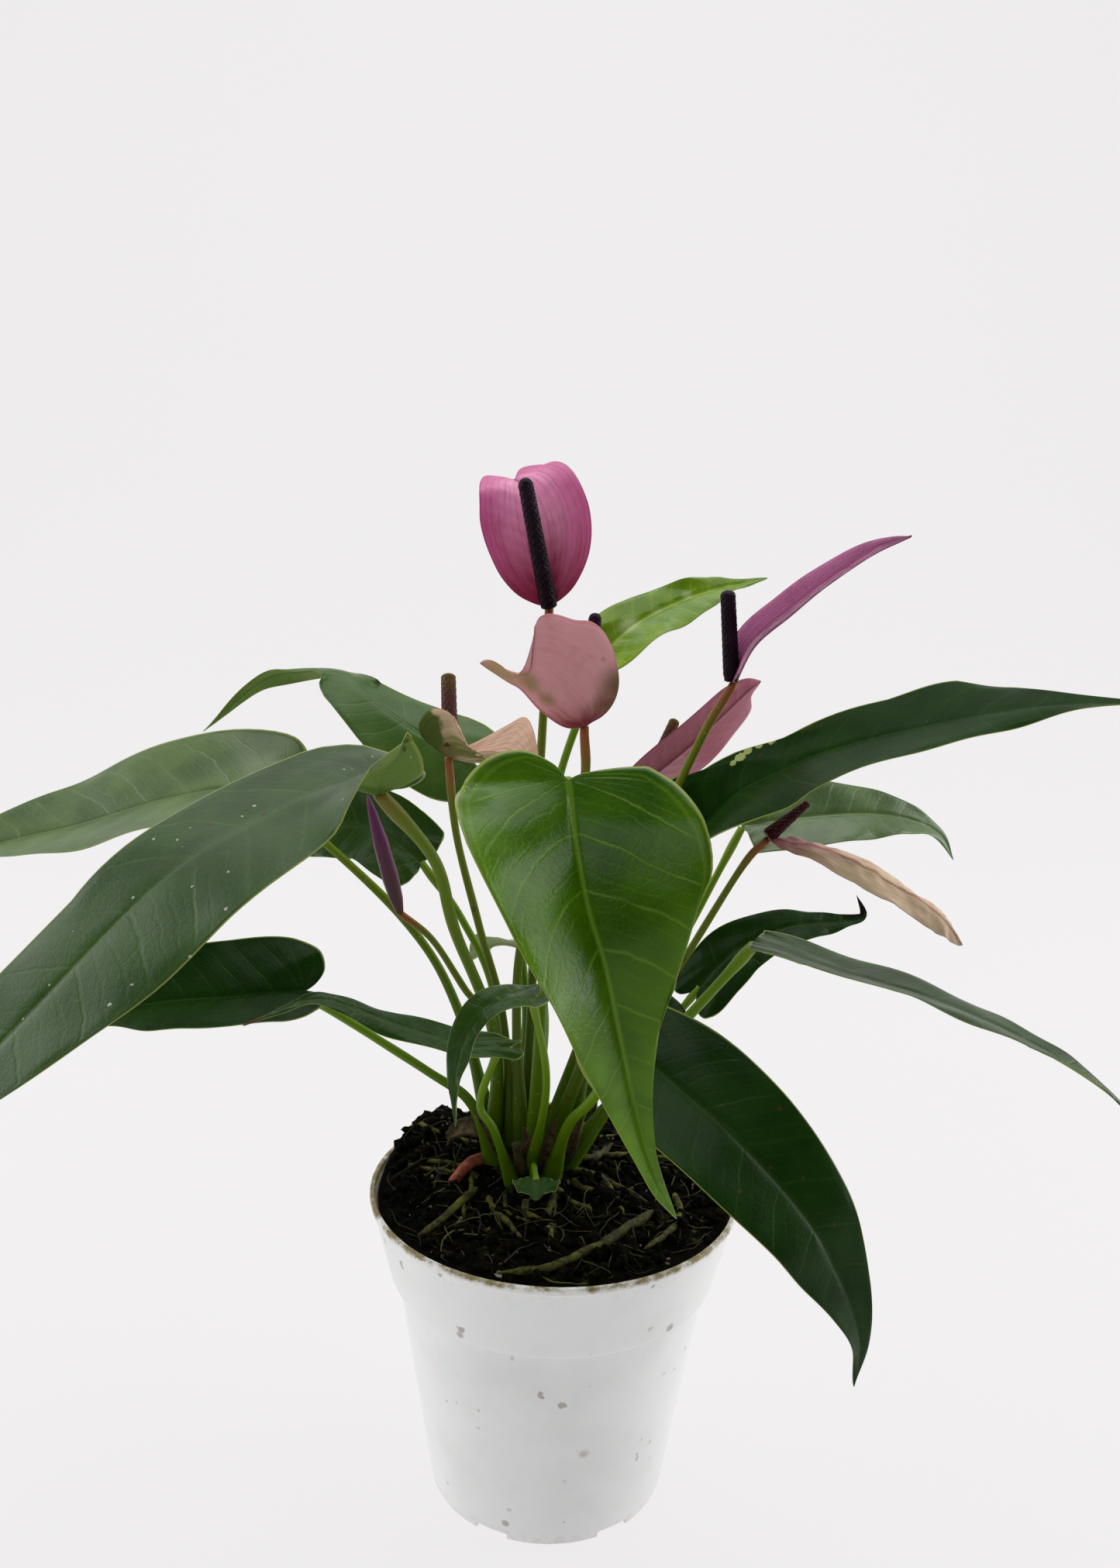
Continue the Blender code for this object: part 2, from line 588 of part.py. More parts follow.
def add_leaves():
    leaf_green = material("Leaf", LEAF_GREEN, 0.35)
    bright_green = material("Front leaf", BRIGHT_GREEN, 0.3)
    stalk_green = material("Petiole", PETIOLE_GREEN, 0.45)
    for name, row in LEAVES.items():
        blade = Blade(row, LEAF_OUTLINE)
        add_blade(f"leaf_{name}", blade, bright_green if name == "front" else leaf_green)
        end = blade.stalk_end(row["via"][-1], row["stalk"][1] / 2, -1)
        add_stalk(f"petiole_{name}", row, end, stalk_green)


def add_flowers():
    dark = material("Spadix", SPADIX_PURPLE, 0.6)
    stalk_olive = material("Peduncle", PEDUNCLE_OLIVE, 0.45)
    for name, row in FLOWERS.items():
        blade = Blade(row, SPATHE_OUTLINE)
        add_blade(f"spathe_{name}", blade, material(f"Spathe {name}", row["colour"], 0.4))
        end = blade.stalk_end(row["via"][-1], row["stalk"][1] / 2, -1)
        add_stalk(f"peduncle_{name}", row, end, stalk_olive)
        start = blade.stalk_end(row["spadix"], row["spike"][0] / 2, 1, row.get("lift", 0.0))
        route = smooth_curve((start, above_rim(row["spadix"])), SPIKE_POINTS)
        add_rod(f"spadix_{name}", route, row["spike"], dark, blunt=True)


def add_bud():
    purple = material("Bud", BUD["colour"], 0.4)
    stalk_olive = material("Peduncle", PEDUNCLE_OLIVE, 0.45)
    base, tip = above_rim(BUD["base"]), above_rim(BUD["tip"])
    route = smooth_curve((base + unit(tip - base) * 2 * CLEARANCE, tip), SPIKE_POINTS)
    add_rod("bud", route, BUD["bud"], purple, blunt=True)
    add_stalk("peduncle_bud", BUD, base, stalk_olive)


def main():
    clear_scene()
    add_pot(material("Pot plastic", POT_WHITE, 0.4))
    add_soil(material("Soil", SOIL_BROWN, 0.95))
    add_crown(material("Rootstock", CROWN_BROWN, 0.8))
    for name, row in ROOTS.items():
        add_root(f"root_{name}", row, material("Root", ROOT_GREEN, 0.8))
    add_leaves()
    add_flowers()
    add_bud()


main()
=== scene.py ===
"""The looks of a potted anthurium: its leaves, stalks, flowers, roots, soil and pot, over its frame."""

from math import atan2, cos, hypot, pi, radians, sin, tau

import bmesh
import bpy
import numpy as np
from mathutils import Matrix, Vector, noise


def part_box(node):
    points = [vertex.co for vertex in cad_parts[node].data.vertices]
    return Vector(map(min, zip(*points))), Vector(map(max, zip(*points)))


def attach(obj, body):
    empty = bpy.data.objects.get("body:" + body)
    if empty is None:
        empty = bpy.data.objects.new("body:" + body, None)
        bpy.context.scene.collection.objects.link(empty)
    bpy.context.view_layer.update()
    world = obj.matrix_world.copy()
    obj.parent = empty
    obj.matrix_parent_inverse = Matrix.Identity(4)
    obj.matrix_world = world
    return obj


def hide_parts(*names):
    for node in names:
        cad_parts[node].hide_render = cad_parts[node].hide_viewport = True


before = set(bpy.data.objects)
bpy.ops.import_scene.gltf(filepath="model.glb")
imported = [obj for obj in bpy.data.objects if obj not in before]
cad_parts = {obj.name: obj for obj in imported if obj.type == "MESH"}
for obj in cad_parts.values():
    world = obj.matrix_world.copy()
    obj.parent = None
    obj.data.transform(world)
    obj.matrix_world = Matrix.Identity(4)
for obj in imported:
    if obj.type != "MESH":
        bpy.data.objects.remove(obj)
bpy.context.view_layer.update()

MM = 0.001
BODY = "root"
RIM_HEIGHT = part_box("pot")[1].z / MM
RIM_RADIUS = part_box("pot")[1].x / MM

# Pot, in millimetres. These repeat the CAD pot's sizes; only its rim is read from the frame.
FOOT_RADIUS = 34.4
COLLAR_HEIGHT = 24.2
COLLAR_RADIUS = 46.8
COLLAR_STEP = 2.2
POT_WALL = 1.4
DRAIN_NOTCHES = 6
DRAIN_SIZE = (5.2, 10.0, 4.4)
DRAIN_FIRST_HEADING = 244.0

# Soil and crown, in millimetres. The soil stands higher at its edge here than the CAD's does.
SOIL_EDGE_DROP = 1.6
MOUND_HEIGHT = 5.0
MOUND_SPREAD = 26.0
BANK_PLACE = (-36.0, 24.0)
BANK_HEIGHT = 7.5
BANK_SPREAD = 15.0
CROWN_PLACE = (-7.0, 8.0)
CROWN_RADIUS = 14.0
CROWN_HEIGHT = 6.0

FOLD_MIDDLE = 0.3
SIDE_VEINS = 9
LOBE_VEIN_ANGLE = radians(24)
SHEET_ROWS, SHEET_COLUMNS = 104, 57
MERGE_DISTANCE = 0.004 * MM

# Half outlines, from the notch at the stalk to the tip: across in half widths, along in lengths.
LEAF_OUTLINE = (
    (0.00, 0.00), (0.12, -0.05), (0.36, -0.09), (0.65, -0.075), (0.88, 0.00), (1.00, 0.14),
    (0.98, 0.28), (0.88, 0.43), (0.72, 0.57), (0.50, 0.70), (0.28, 0.81), (0.11, 0.92), (0.00, 1.00),
)
HEART_OUTLINE = (
    (0.00, 0.00), (0.12, -0.05), (0.36, -0.09), (0.65, -0.07), (0.88, 0.01), (1.00, 0.13),
    (0.92, 0.24), (0.73, 0.36), (0.53, 0.48), (0.37, 0.58), (0.25, 0.68), (0.15, 0.79),
    (0.07, 0.91), (0.00, 1.00),
)
HEART_SHOULDER = (
    (0.00, 0.00), (0.14, -0.03), (0.36, -0.03), (0.60, 0.015), (0.82, 0.085), (0.97, 0.18),
    (0.95, 0.27), (0.75, 0.37), (0.53, 0.48), (0.37, 0.58), (0.25, 0.68), (0.15, 0.79),
    (0.07, 0.91), (0.00, 1.00),
)
SPATHE_OUTLINE = (
    (0.00, 0.00), (0.25, 0.03), (0.55, 0.11), (0.80, 0.24), (0.95, 0.40), (1.00, 0.56),
    (0.93, 0.72), (0.72, 0.86), (0.40, 0.95), (0.14, 0.99), (0.00, 1.00),
)
SPATHE_LEFT_HUMP = (
    (0.00, 0.00), (0.25, 0.03), (0.55, 0.11), (0.80, 0.24), (0.95, 0.42), (1.00, 0.60),
    (0.96, 0.72), (0.87, 0.86), (0.71, 0.98), (0.49, 1.06), (0.24, 1.06), (0.00, 1.00),
)
SPATHE_RIGHT_HUMP = (
    (0.00, 0.00), (0.25, 0.03), (0.55, 0.11), (0.80, 0.24), (0.95, 0.40), (1.00, 0.56),
    (0.97, 0.69), (0.88, 0.83), (0.72, 0.95), (0.48, 1.05), (0.22, 1.07), (0.00, 1.00),
)
SPATHE_LANCE = (
    (0.00, 0.00), (0.45, 0.00), (0.78, 0.08), (0.96, 0.22), (1.00, 0.38), (0.94, 0.54),
    (0.78, 0.70), (0.55, 0.83), (0.28, 0.93), (0.00, 1.00),
)
SPATHE_ROSE = (
    (0.00, 0.00), (0.14, -0.10), (0.38, -0.17), (0.66, -0.14), (0.90, 0.00), (1.00, 0.20),
    (1.00, 0.42), (0.95, 0.60), (0.84, 0.76), (0.60, 0.88), (0.26, 0.95), (0.00, 1.00),
)
HOOD_NEAR = (
    (0.00, 0.00), (0.10, -0.12), (0.28, -0.20), (0.50, -0.22), (0.76, -0.16), (0.93, -0.04),
    (0.97, 0.14), (0.94, 0.30), (0.86, 0.41), (0.74, 0.46), (0.56, 0.48), (0.38, 0.50), (0.24, 0.56),
    (0.18, 0.66), (0.19, 0.76), (0.17, 0.86), (0.10, 0.94), (0.00, 1.00),
)
HOOD_FAR = (
    (0.00, 0.00), (0.12, -0.10), (0.35, -0.18), (0.65, -0.18), (0.90, -0.08), (1.00, 0.08),
    (0.95, 0.22), (0.75, 0.34), (0.50, 0.44), (0.32, 0.56), (0.24, 0.70), (0.18, 0.84),
    (0.09, 0.94), (0.00, 1.00),
)
DISH_FAR = (
    (0.00, 0.00), (0.12, 0.04), (0.26, 0.13), (0.50, 0.33), (0.80, 0.53), (1.00, 0.63),
    (1.00, 0.70), (0.80, 0.79), (0.50, 0.88), (0.22, 0.95), (0.00, 1.00),
)
DISH_NEAR = (
    (0.00, 0.00), (0.10, -0.14), (0.28, -0.28), (0.55, -0.36), (0.82, -0.33), (0.98, -0.22),
    (0.98, -0.08), (0.82, 0.02), (0.56, 0.09), (0.36, 0.16), (0.30, 0.30), (0.36, 0.50),
    (0.34, 0.70), (0.20, 0.88), (0.00, 1.00),
)

# The plant. Places are in millimetres, with heights counted up from the rim. They are kept here, not
# read from the frame, and some differ a little from the CAD's: a change to a CAD leaf is made here too.
# "spine" is the midrib, "face" and "face_tip" where its upper side looks, "fold" to "fold_tip" how far
# the halves rise in degrees, "fold_span" where the first fold ends, "lobe" the length of the basal
# lobes, "trim" how much wider each half is at even steps along its margin, "waves" the count and depth
# of its margin's waves, "via" the stalk's points, "foot" its distance and heading from the crown's
# axis, and "stalk" its two diameters. Pairs for two halves give the left one first, seen from above
# with the tip ahead.
LEAVES = {
    "front": dict(
        spine=((0, -62, 134), (2, -71, 122), (5, -77, 109), (9, -80, 97), (13, -80, 80),
               (18, -76, 58), (23, -72, 42), (29, -67, 29)),
        width=56, face=(0, -1, 0.15), fold=(8, 8), fold_mid=(8, 50), fold_tip=(8, 45),
        lobe=(0.3, 0.75), outline=HEART_SHOULDER, outline_right=HEART_OUTLINE, waves=(2.0, 0.5),
        quilt=0.10,
        trim=((0.86, 1.08, 1.2, 1.2, 1.12, 0.98, 0.82, 0.68, 0.62, 0.6, 0.8), (1, 1)),
        via=((-5, -16, 61), (-2, -44, 116)),
        foot=(5.5, 280), stalk=(3.0, 2.6),
    ),
    "left": dict(
        spine=((-47, -24, 121), (-57, -28, 123), (-73, -38, 117), (-93, -58, 106),
               (-120, -88, 78), (-148, -114, 48)),
        width=60, face=(0.1, -0.3, 1), fold=(75, 0), fold_mid=(14, -12), fold_tip=(4, 0),
        lobe=(0.6, 1), fold_span=0.16, waves=(3.0, 0.6),
        trim=((0.55, 0.6, 0.62, 0.8, 0.95, 1, 1, 1, 1),
              (1, 1, 1, 0.94, 0.84, 0.70, 0.66, 0.84, 1.05, 1.45, 1.2)),
        via=((-18, 0, 44), (-29, -8, 79), (-34, -14, 100)),
        foot=(11, 182), stalk=(2.8, 3.4),
    ),
    "left_back": dict(
        spine=((-84, 29, 105), (-97, 31, 106), (-117, 32, 102), (-142, 30, 94), (-166, 26, 88),
               (-193, 17, 79)),
        width=54, face=(-0.1, -0.3, 1), fold=(12, 12), lobe=(0.5, 0.5),
        via=((-29, 14, 46), (-46, 18, 73)),
        foot=(11, 160), stalk=(2.8, 2.4),
    ),
    "left_low": dict(
        spine=((-72, 4, 55), (-80, 2, 55), (-91, -2, 55), (-106, -6, 55), (-122, -10, 53),
               (-139, -12, 46)),
        width=36, face=(0, -0.5, 1), fold=(18, 20),
        trim=((0.3, 0.45, 0.6, 0.75, 0.92, 1, 1, 1, 1), (1, 1)),
        via=((-24, 0, 24), (-37, 0, 34)),
        foot=(11, 204), stalk=(2.8, 2.2),
    ),
    "left_small": dict(
        spine=((-16, -16, 49), (-25, -18, 50), (-33, -20, 53), (-43, -22, 57), (-59, -25, 64),
               (-67, -26, 64), (-82, -28, 58)),
        width=11, face=(0, -0.5, 1), fold=(10, -10),
        via=((-17, -12, 22), (-21, -13, 31)),
        foot=(13, 250), stalk=(2.6, 2.0),
    ),
    "back_left": dict(
        spine=((-29, 42, 115), (-41, 43, 120), (-53, 45, 127), (-63, 48, 134), (-69, 54, 138),
               (-80, 59, 137), (-94, 61, 133), (-112, 58, 117)),
        width=34, face=(-0.2, -0.8, 0.5), face_tip=(0, 0.7, 0.7), fold=(5, -30),
        trim=((1, 1, 1, 1, 1, 0.85, 0.6, 0.5, 0.5, 0.5, 0.6), (1, 1, 1, 1, 1, 0.85, 0.6, 0.5, 0.5, 0.5, 0.6)),
        via=((-10, 30, 41), (-18, 38, 87)),
        foot=(11, 118), stalk=(2.8, 2.2),
    ),
    "inner_left": dict(
        spine=((-42, 31, 86), (-49, 34, 90), (-58, 38, 94), (-72, 44, 92), (-90, 50, 86),
               (-103, 52, 81)),
        width=25, face=(0.2, -0.8, 0.5), fold=(8, 8), lobe=(0.3, 0.3),
        via=((-19, 22, 47), (-29, 27, 69)),
        foot=(11, 138), stalk=(2.6, 2.2),
    ),
    "back_right": dict(
        spine=((9, 30, 149), (17, 34, 156), (26, 38, 161), (39, 42, 166), (57, 48, 170)),
        width=24, face=(-0.2, -0.6, 0.8), fold=(10, 10),
        trim=((1.7, 1.6, 1.35, 1.0, 0.8, 0.72, 0.78, 0.9, 1), (1, 1)), waves=(2.6, 0.9),
        via=((-5, 24, 44), (-3, 28, 91), (-2, 29, 113)),
        foot=(5.5, 88), stalk=(2.8, 2.2),
    ),
    "right": dict(
        spine=((38, 0, 109), (46, -6, 119), (56, -11, 126), (66, -15, 132), (85, -23, 140),
               (110, -33, 148), (134, -43, 152)),
        width=50, face=(-0.1, -0.45, 1), face_tip=(-0.1, -0.15, 1), fold=(58, 18), waves=(2.6, 0.9),
        trim=((1.45, 1.48, 1.32, 0.88, 0.54, 0.50, 0.76, 1.25, 1.35, 1.2, 1),
              (0.8, 0.85, 0.9, 1, 1, 1, 1, 1, 1)),
        fold_mid=(9, 10), fold_tip=(0, 0),
        via=((9, 6, 38), (24, 4, 76)),
        foot=(11, 354), stalk=(2.8, 2.4),
    ),
    "right_back": dict(
        spine=((53, 40, 97), (63, 43, 98), (77, 47, 99), (92, 51, 99), (105, 54, 97),
               (116, 57, 92), (122, 59, 83)),
        width=26, face=(0, -0.8, 1), fold=(10, 10), lobe=(0, 0),
        via=((18, 26, 34), (33, 31, 58)),
        foot=(11, 38), stalk=(2.6, 2.2),
    ),
    "right_mid": dict(
        spine=((40, 14, 56), (45, 15, 62), (52, 18, 67), (66, 22, 72), (82, 28, 72),
               (89, 31, 73), (87, 33, 79)),
        width=19, face=(-0.2, -0.7, 0.6), fold=(-4, 10),
        trim=((1, 1, 1, 1, 0.9, 0.8, 0.75, 0.75, 1), (1.3, 1.6, 1.5, 1.2, 0.9, 0.8, 0.75, 0.75, 1)),
        via=((22, 14, 30),),
        foot=(11, 15), stalk=(2.6, 2.2),
    ),
    "right_low": dict(
        spine=((52, -6, 77), (59, -9, 76), (73, -18, 74), (94, -30, 72), (116, -42, 66),
               (134, -50, 57), (143, -53, 48)),
        width=22, face=(0, -0.1, 1), fold=(0, 20), fold_mid=(-6, 20), lobe=(0, 0),
        via=((22, 2, 35), (35, -1, 52)),
        foot=(11, 333), stalk=(2.8, 3.0),
    ),
    "drooping": dict(
        spine=((18, -36, 59), (30, -47, 53), (45, -59, 44), (60, -65, 29), (67, -65, 17),
               (72, -64, 6), (76, -62, -7), (76, -60, -20)),
        width=35, face=(0.3, -0.8, 0.6), fold=(8, 8),
        via=((3, -14, 25), (9, -24, 38)),
        foot=(11.5, 300), stalk=(3.0, 2.6),
    ),
    "centre_small": dict(
        spine=((-7, -34, 71), (-13, -41, 73), (-19, -46, 72), (-23, -50, 67), (-25, -52, 58),
               (-25, -52, 51), (-25, -51, 43)),
        width=9, face=(0, -0.5, 1), face_tip=(-0.4, -1, 0), fold=(15, 15),
        via=((-3, -22, 41),),
        foot=(9, 268), stalk=(2.4, 1.8),
    ),
    "right_hidden": dict(
        spine=((17, 21, 45), (27, 17, 47), (35, 8, 47), (41, 3, 44)),
        width=14, face=(0, -0.6, 0.8), fold=(10, 10),
        via=((9, 26, 31),),
        foot=(11, 60), stalk=(2.2, 1.8),
    ),
    "seedling": dict(
        spine=((-5, -18, 11), (-5, -22, 10), (-5, -25, 9)),
        width=13, face=(0, -0.5, 1), fold=(5, 5),
        via=((-6, -10, 11),),
        foot=(14, 272), stalk=(1.8, 1.4),
    ),
    "back": dict(
        spine=((-8, 52, 52), (-20, 62, 50), (-31, 70, 40)),
        width=24, face=(0, 0.4, 1), fold=(10, 10),
        via=((-4, 40, 30),),
        foot=(11, 96), stalk=(2.4, 2.0),
    ),
}

# Each flower has the same, with "cup" for a rounded hollow, "skew" for a half wider than the other,
# "spadix" where the spike inside it ends, "spike" that spike's two diameters and "lift" its gap.
FLOWERS = {
    "purple": dict(
        spine=((-6, 2, 165), (-8, 6, 174), (-10, 11, 184), (-13, 16, 194), (-16.5, 22, 196.5)),
        width=30, face=(0, -1, 0.2), face_tip=(0, -0.6, 1), fold=(15, 15),
        outline=SPATHE_LEFT_HUMP, outline_right=SPATHE_RIGHT_HUMP,
        via=((-8, 8, 43), (-8, 9, 98), (-7, 8, 131)),
        foot=(3, 120), stalk=(2.6, 2.2), spadix=(-13, -6, 198), spike=(4.7, 3.7),
    ),
    "cup": dict(
        spine=((4, -12, 137), (-1, -13, 137), (-7, -14, 141), (-12, -14, 146), (-16, -13, 148),
               (-23, -12, 152)),
        width=43, upright=True, face=(-0.03, 0, 1), fold=(38, 45), cup=(75, 40), skew=-0.38, lobe=(1, 1),
        outline=HOOD_NEAR, outline_right=HOOD_FAR,
        via=((-12, 0, 63), (-6, -6, 96), (4, -10, 119)),
        foot=(5.5, 240), stalk=(2.6, 2.2), spadix=(6, -8, 165), spike=(4.0, 3.2), lift=1.5,
    ),
    "violet": dict(
        spine=((43, 2, 147), (48, 2, 157), (57, 2, 165), (66, 2, 173), (77, 2, 181), (87, 2, 186)),
        width=13.5, face=(-0.6, -0.3, 0.7), fold=(33, 33), outline=SPATHE_LANCE,
        via=((12, -4, 56), (23, -4, 101), (35, 0, 131)),
        foot=(5.5, 320), stalk=(2.6, 2.2), spadix=(40, -1, 171), spike=(4.3, 3.8),
    ),
    "rose": dict(
        spine=((24, 26, 115), (33, 25, 123), (42, 25, 132), (50, 26, 140), (54, 28, 143)),
        width=25, face=(-0.3, 0.7, 0.6), fold=(10, 10), skew=-0.33, outline=SPATHE_ROSE,
        via=((13, 26, 56), (23, 27, 92)),
        foot=(5.5, 48), stalk=(2.4, 2.0), spadix=(31, 34, 130), spike=(3.6, 3.0),
    ),
    "green": dict(
        spine=((-31, -8, 127), (-25, -9, 126), (-17, -11, 126), (-7, -14, 125)),
        width=25, face=(0, 0, 1), fold=(42, 62), fold_mid=(42, 40), cup=(20, 50), lobe=(1, 1),
        outline=DISH_FAR, outline_right=DISH_NEAR, skew=-0.08,
        via=((-16, 4, 49), (-23, 0, 78), (-29, -4, 104)),
        foot=(5.5, 200), stalk=(2.4, 2.0), spadix=(-32, 0, 147), spike=(4.2, 3.8), lift=1.5,
    ),
    "faded": dict(
        spine=((54, -4, 106), (69, -10, 105), (85, -14, 98), (98, -16, 90), (105, -17, 82)),
        width=13, face=(0, -0.3, 1), fold=(-20, -20), crumple=0.7, waves=(4.0, 0.5),
        via=((17, 10, 39), (31, 8, 60), (48, 0, 96)),
        foot=(5.5, 8), stalk=(2.4, 2.0), spadix=(65, 0, 115), spike=(4.2, 1.8),
    ),
}

# The bud: its foot and tip, its two diameters, and its stalk as above.
BUD = dict(
    base=(-45, 4, 79), tip=(-54, 5, 112), bud=(4.6, 2.0),
    via=((-18, 8, 42), (-27, 7, 56), (-36, 5, 71)),
    foot=(6, 162), stalk=(2.2, 1.9),
)

# Roots that lie on the soil: the places that each one passes over, and its two diameters.
ROOTS = {
    "front": dict(
        route=((-14, -46), (-2, -43), (5, -38), (13, -31), (20, -23), (27, -15)), thick=(2.0, 2.8)
    ),
    "left": dict(route=((-36, -29), (-31, -22), (-26, -14), (-22, -8)), thick=(1.8, 2.4)),
    "right": dict(route=((24, -32), (31, -24), (35, -14), (34, -4)), thick=(1.6, 2.2)),
}


# ---------------------------------------------------------------- shapes

def mix(low, high, share):
    return low * (1 - share) + high * share


def unit(vectors):
    return vectors / np.maximum(np.linalg.norm(vectors, axis=-1, keepdims=True), 1e-9)


def smoothstep(value, low, high):
    share = np.clip((value - low) / (high - low), 0, 1)
    return share * share * (3 - 2 * share)


def bump_at(value, centre, width):
    return np.exp(-(((value - centre) / width) ** 2))


def seed_of(name):
    return sum(ord(letter) * (index + 3) for index, letter in enumerate(name))


def above_rim(points):
    return np.array(points, float) + (0.0, 0.0, RIM_HEIGHT)


def smooth_curve(points, count):
    """Points at even spacing on a smooth curve through the given ones."""
    knots = np.array(points, float)
    knots = np.vstack([2 * knots[0] - knots[1], knots, 2 * knots[-1] - knots[-2]])
    share = np.linspace(0, 1, 24, endpoint=False)[:, None]
    runs = []
    for before, start, end, after in zip(knots, knots[1:], knots[2:], knots[3:]):
        runs.append(0.5 * (2 * start + (end - before) * share
                           + (2 * before - 5 * start + 4 * end - after) * share**2
                           + (3 * start - before - 3 * end + after) * share**3))
    dense = np.vstack([*runs, knots[-2]])
    passed = np.r_[0, np.cumsum(np.linalg.norm(np.diff(dense, axis=0), axis=1))]
    wanted = np.linspace(0, passed[-1], count)
    return np.stack([np.interp(wanted, passed, column) for column in dense.T], axis=1)


def roughness(points, scale, seed=0):
    """Smooth noise of about -1 to 1 at each point, given in millimetres."""
    shift = Vector((seed * 7.31 % 97, seed * 3.17 % 89, seed * 5.77 % 83))
    flat = np.asarray(points, float).reshape(-1, 3) / scale
    return np.array([noise.noise(Vector(p) + shift) for p in flat]).reshape(np.shape(points)[:-1])


def make_mesh(name, points, faces, layers, looks):
    """A mesh in metres from points in millimetres. layers are UV maps: one (u, v) for each point."""
    mesh = bpy.data.meshes.new(name)
    mesh.from_pydata((np.asarray(points, float) * MM).tolist(), [], faces)
    corner = np.zeros(len(mesh.loops), np.int32)
    mesh.loops.foreach_get("vertex_index", corner)
    for layer, values in layers.items():
        made = mesh.uv_layers.new(name=layer)
        made.data.foreach_set("uv", np.asarray(values, np.float32)[corner].ravel())
    mesh.validate()
    mesh.shade_smooth()
    made = bpy.data.objects.new(name, mesh)
    bpy.context.scene.collection.objects.link(made)
    for look in looks:
        mesh.materials.append(look)
    return made


def grid_faces(rows, columns, closed=False, first=0):
    """Quads over a grid of points, row by row; closed joins the last column to the first."""
    across = columns if closed else columns - 1
    row, column = np.meshgrid(np.arange(rows - 1), np.arange(across), indexing="ij")
    beside = (column + 1) % columns
    quads = [row * columns + column, row * columns + beside,
             (row + 1) * columns + beside, (row + 1) * columns + column]
    return (np.stack([quad.ravel() for quad in quads], axis=1) + first).tolist()


def tube_rings(route, radii, sides):
    """Rings of points round a route, with frames carried along so that they don't twist."""
    route = np.asarray(route, float)
    ahead = unit(np.gradient(route, axis=0))
    side = np.cross(ahead[0], (0.0, 0.0, 1.0) if abs(ahead[0][2]) < 0.9 else (0.0, 1.0, 0.0))
    turns = np.linspace(0, tau, sides, endpoint=False)
    radii = np.broadcast_to(np.asarray(radii, float).reshape(len(route), -1), (len(route), sides))
    rings = []
    for place, heading, radius in zip(route, ahead, radii):
        side = unit(side - side.dot(heading) * heading)
        over = np.cross(heading, side)
        spokes = np.cos(turns)[:, None] * side + np.sin(turns)[:, None] * over
        rings.append(place + radius[:, None] * spokes)
    return np.array(rings)


def capped_faces(rows, sides):
    """Faces of rings of points, closed by a middle point at each end, which follow the rings."""
    faces = grid_faces(rows, sides, closed=True)
    low, high, last = rows * sides, rows * sides + 1, (rows - 1) * sides
    for index in range(sides):
        beside = (index + 1) % sides
        faces.append([low, beside, index])
        faces.append([high, last + index, last + beside])
    return faces


def tube(route, radii, sides):
    """A closed tube: its points, faces and (round, along) coordinates."""
    rings = tube_rings(route, radii, sides)
    count = len(rings)
    points = np.vstack([rings.reshape(-1, 3), rings[0].mean(0), rings[-1].mean(0)])
    faces = capped_faces(count, sides)
    around = np.abs(np.linspace(-1, 1, sides, endpoint=False))
    coords = np.stack(np.meshgrid(np.linspace(0, 1, count), around, indexing="ij")[::-1], axis=-1)
    coords = np.vstack([coords.reshape(-1, 2), (0.5, 0.0), (0.5, 1.0)])
    return points, faces, coords


def join_shapes(shapes):
    """Several (points, faces, coords) as one."""
    points, faces, coords, count = [], [], [], 0
    for shape_points, shape_faces, shape_coords in shapes:
        points.append(shape_points)
        faces.extend([[index + count for index in face] for face in shape_faces])
        coords.append(shape_coords)
        count += len(shape_points)
    return np.vstack(points), faces, np.vstack(coords)


def finish_piece(made, slot, *nodes):
    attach(made, BODY)
    if nodes:
        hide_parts(*nodes)
    return made


def add_piece(piece, shape, look, slot, *nodes):
    """A piece from (points, faces, coords), with its coordinates as the UV map that its look reads."""
    points, faces, coords = shape
    return finish_piece(make_mesh(piece, points, faces, {"grid": coords}, [look]), slot, *nodes)


# ---------------------------------------------------------------- blades

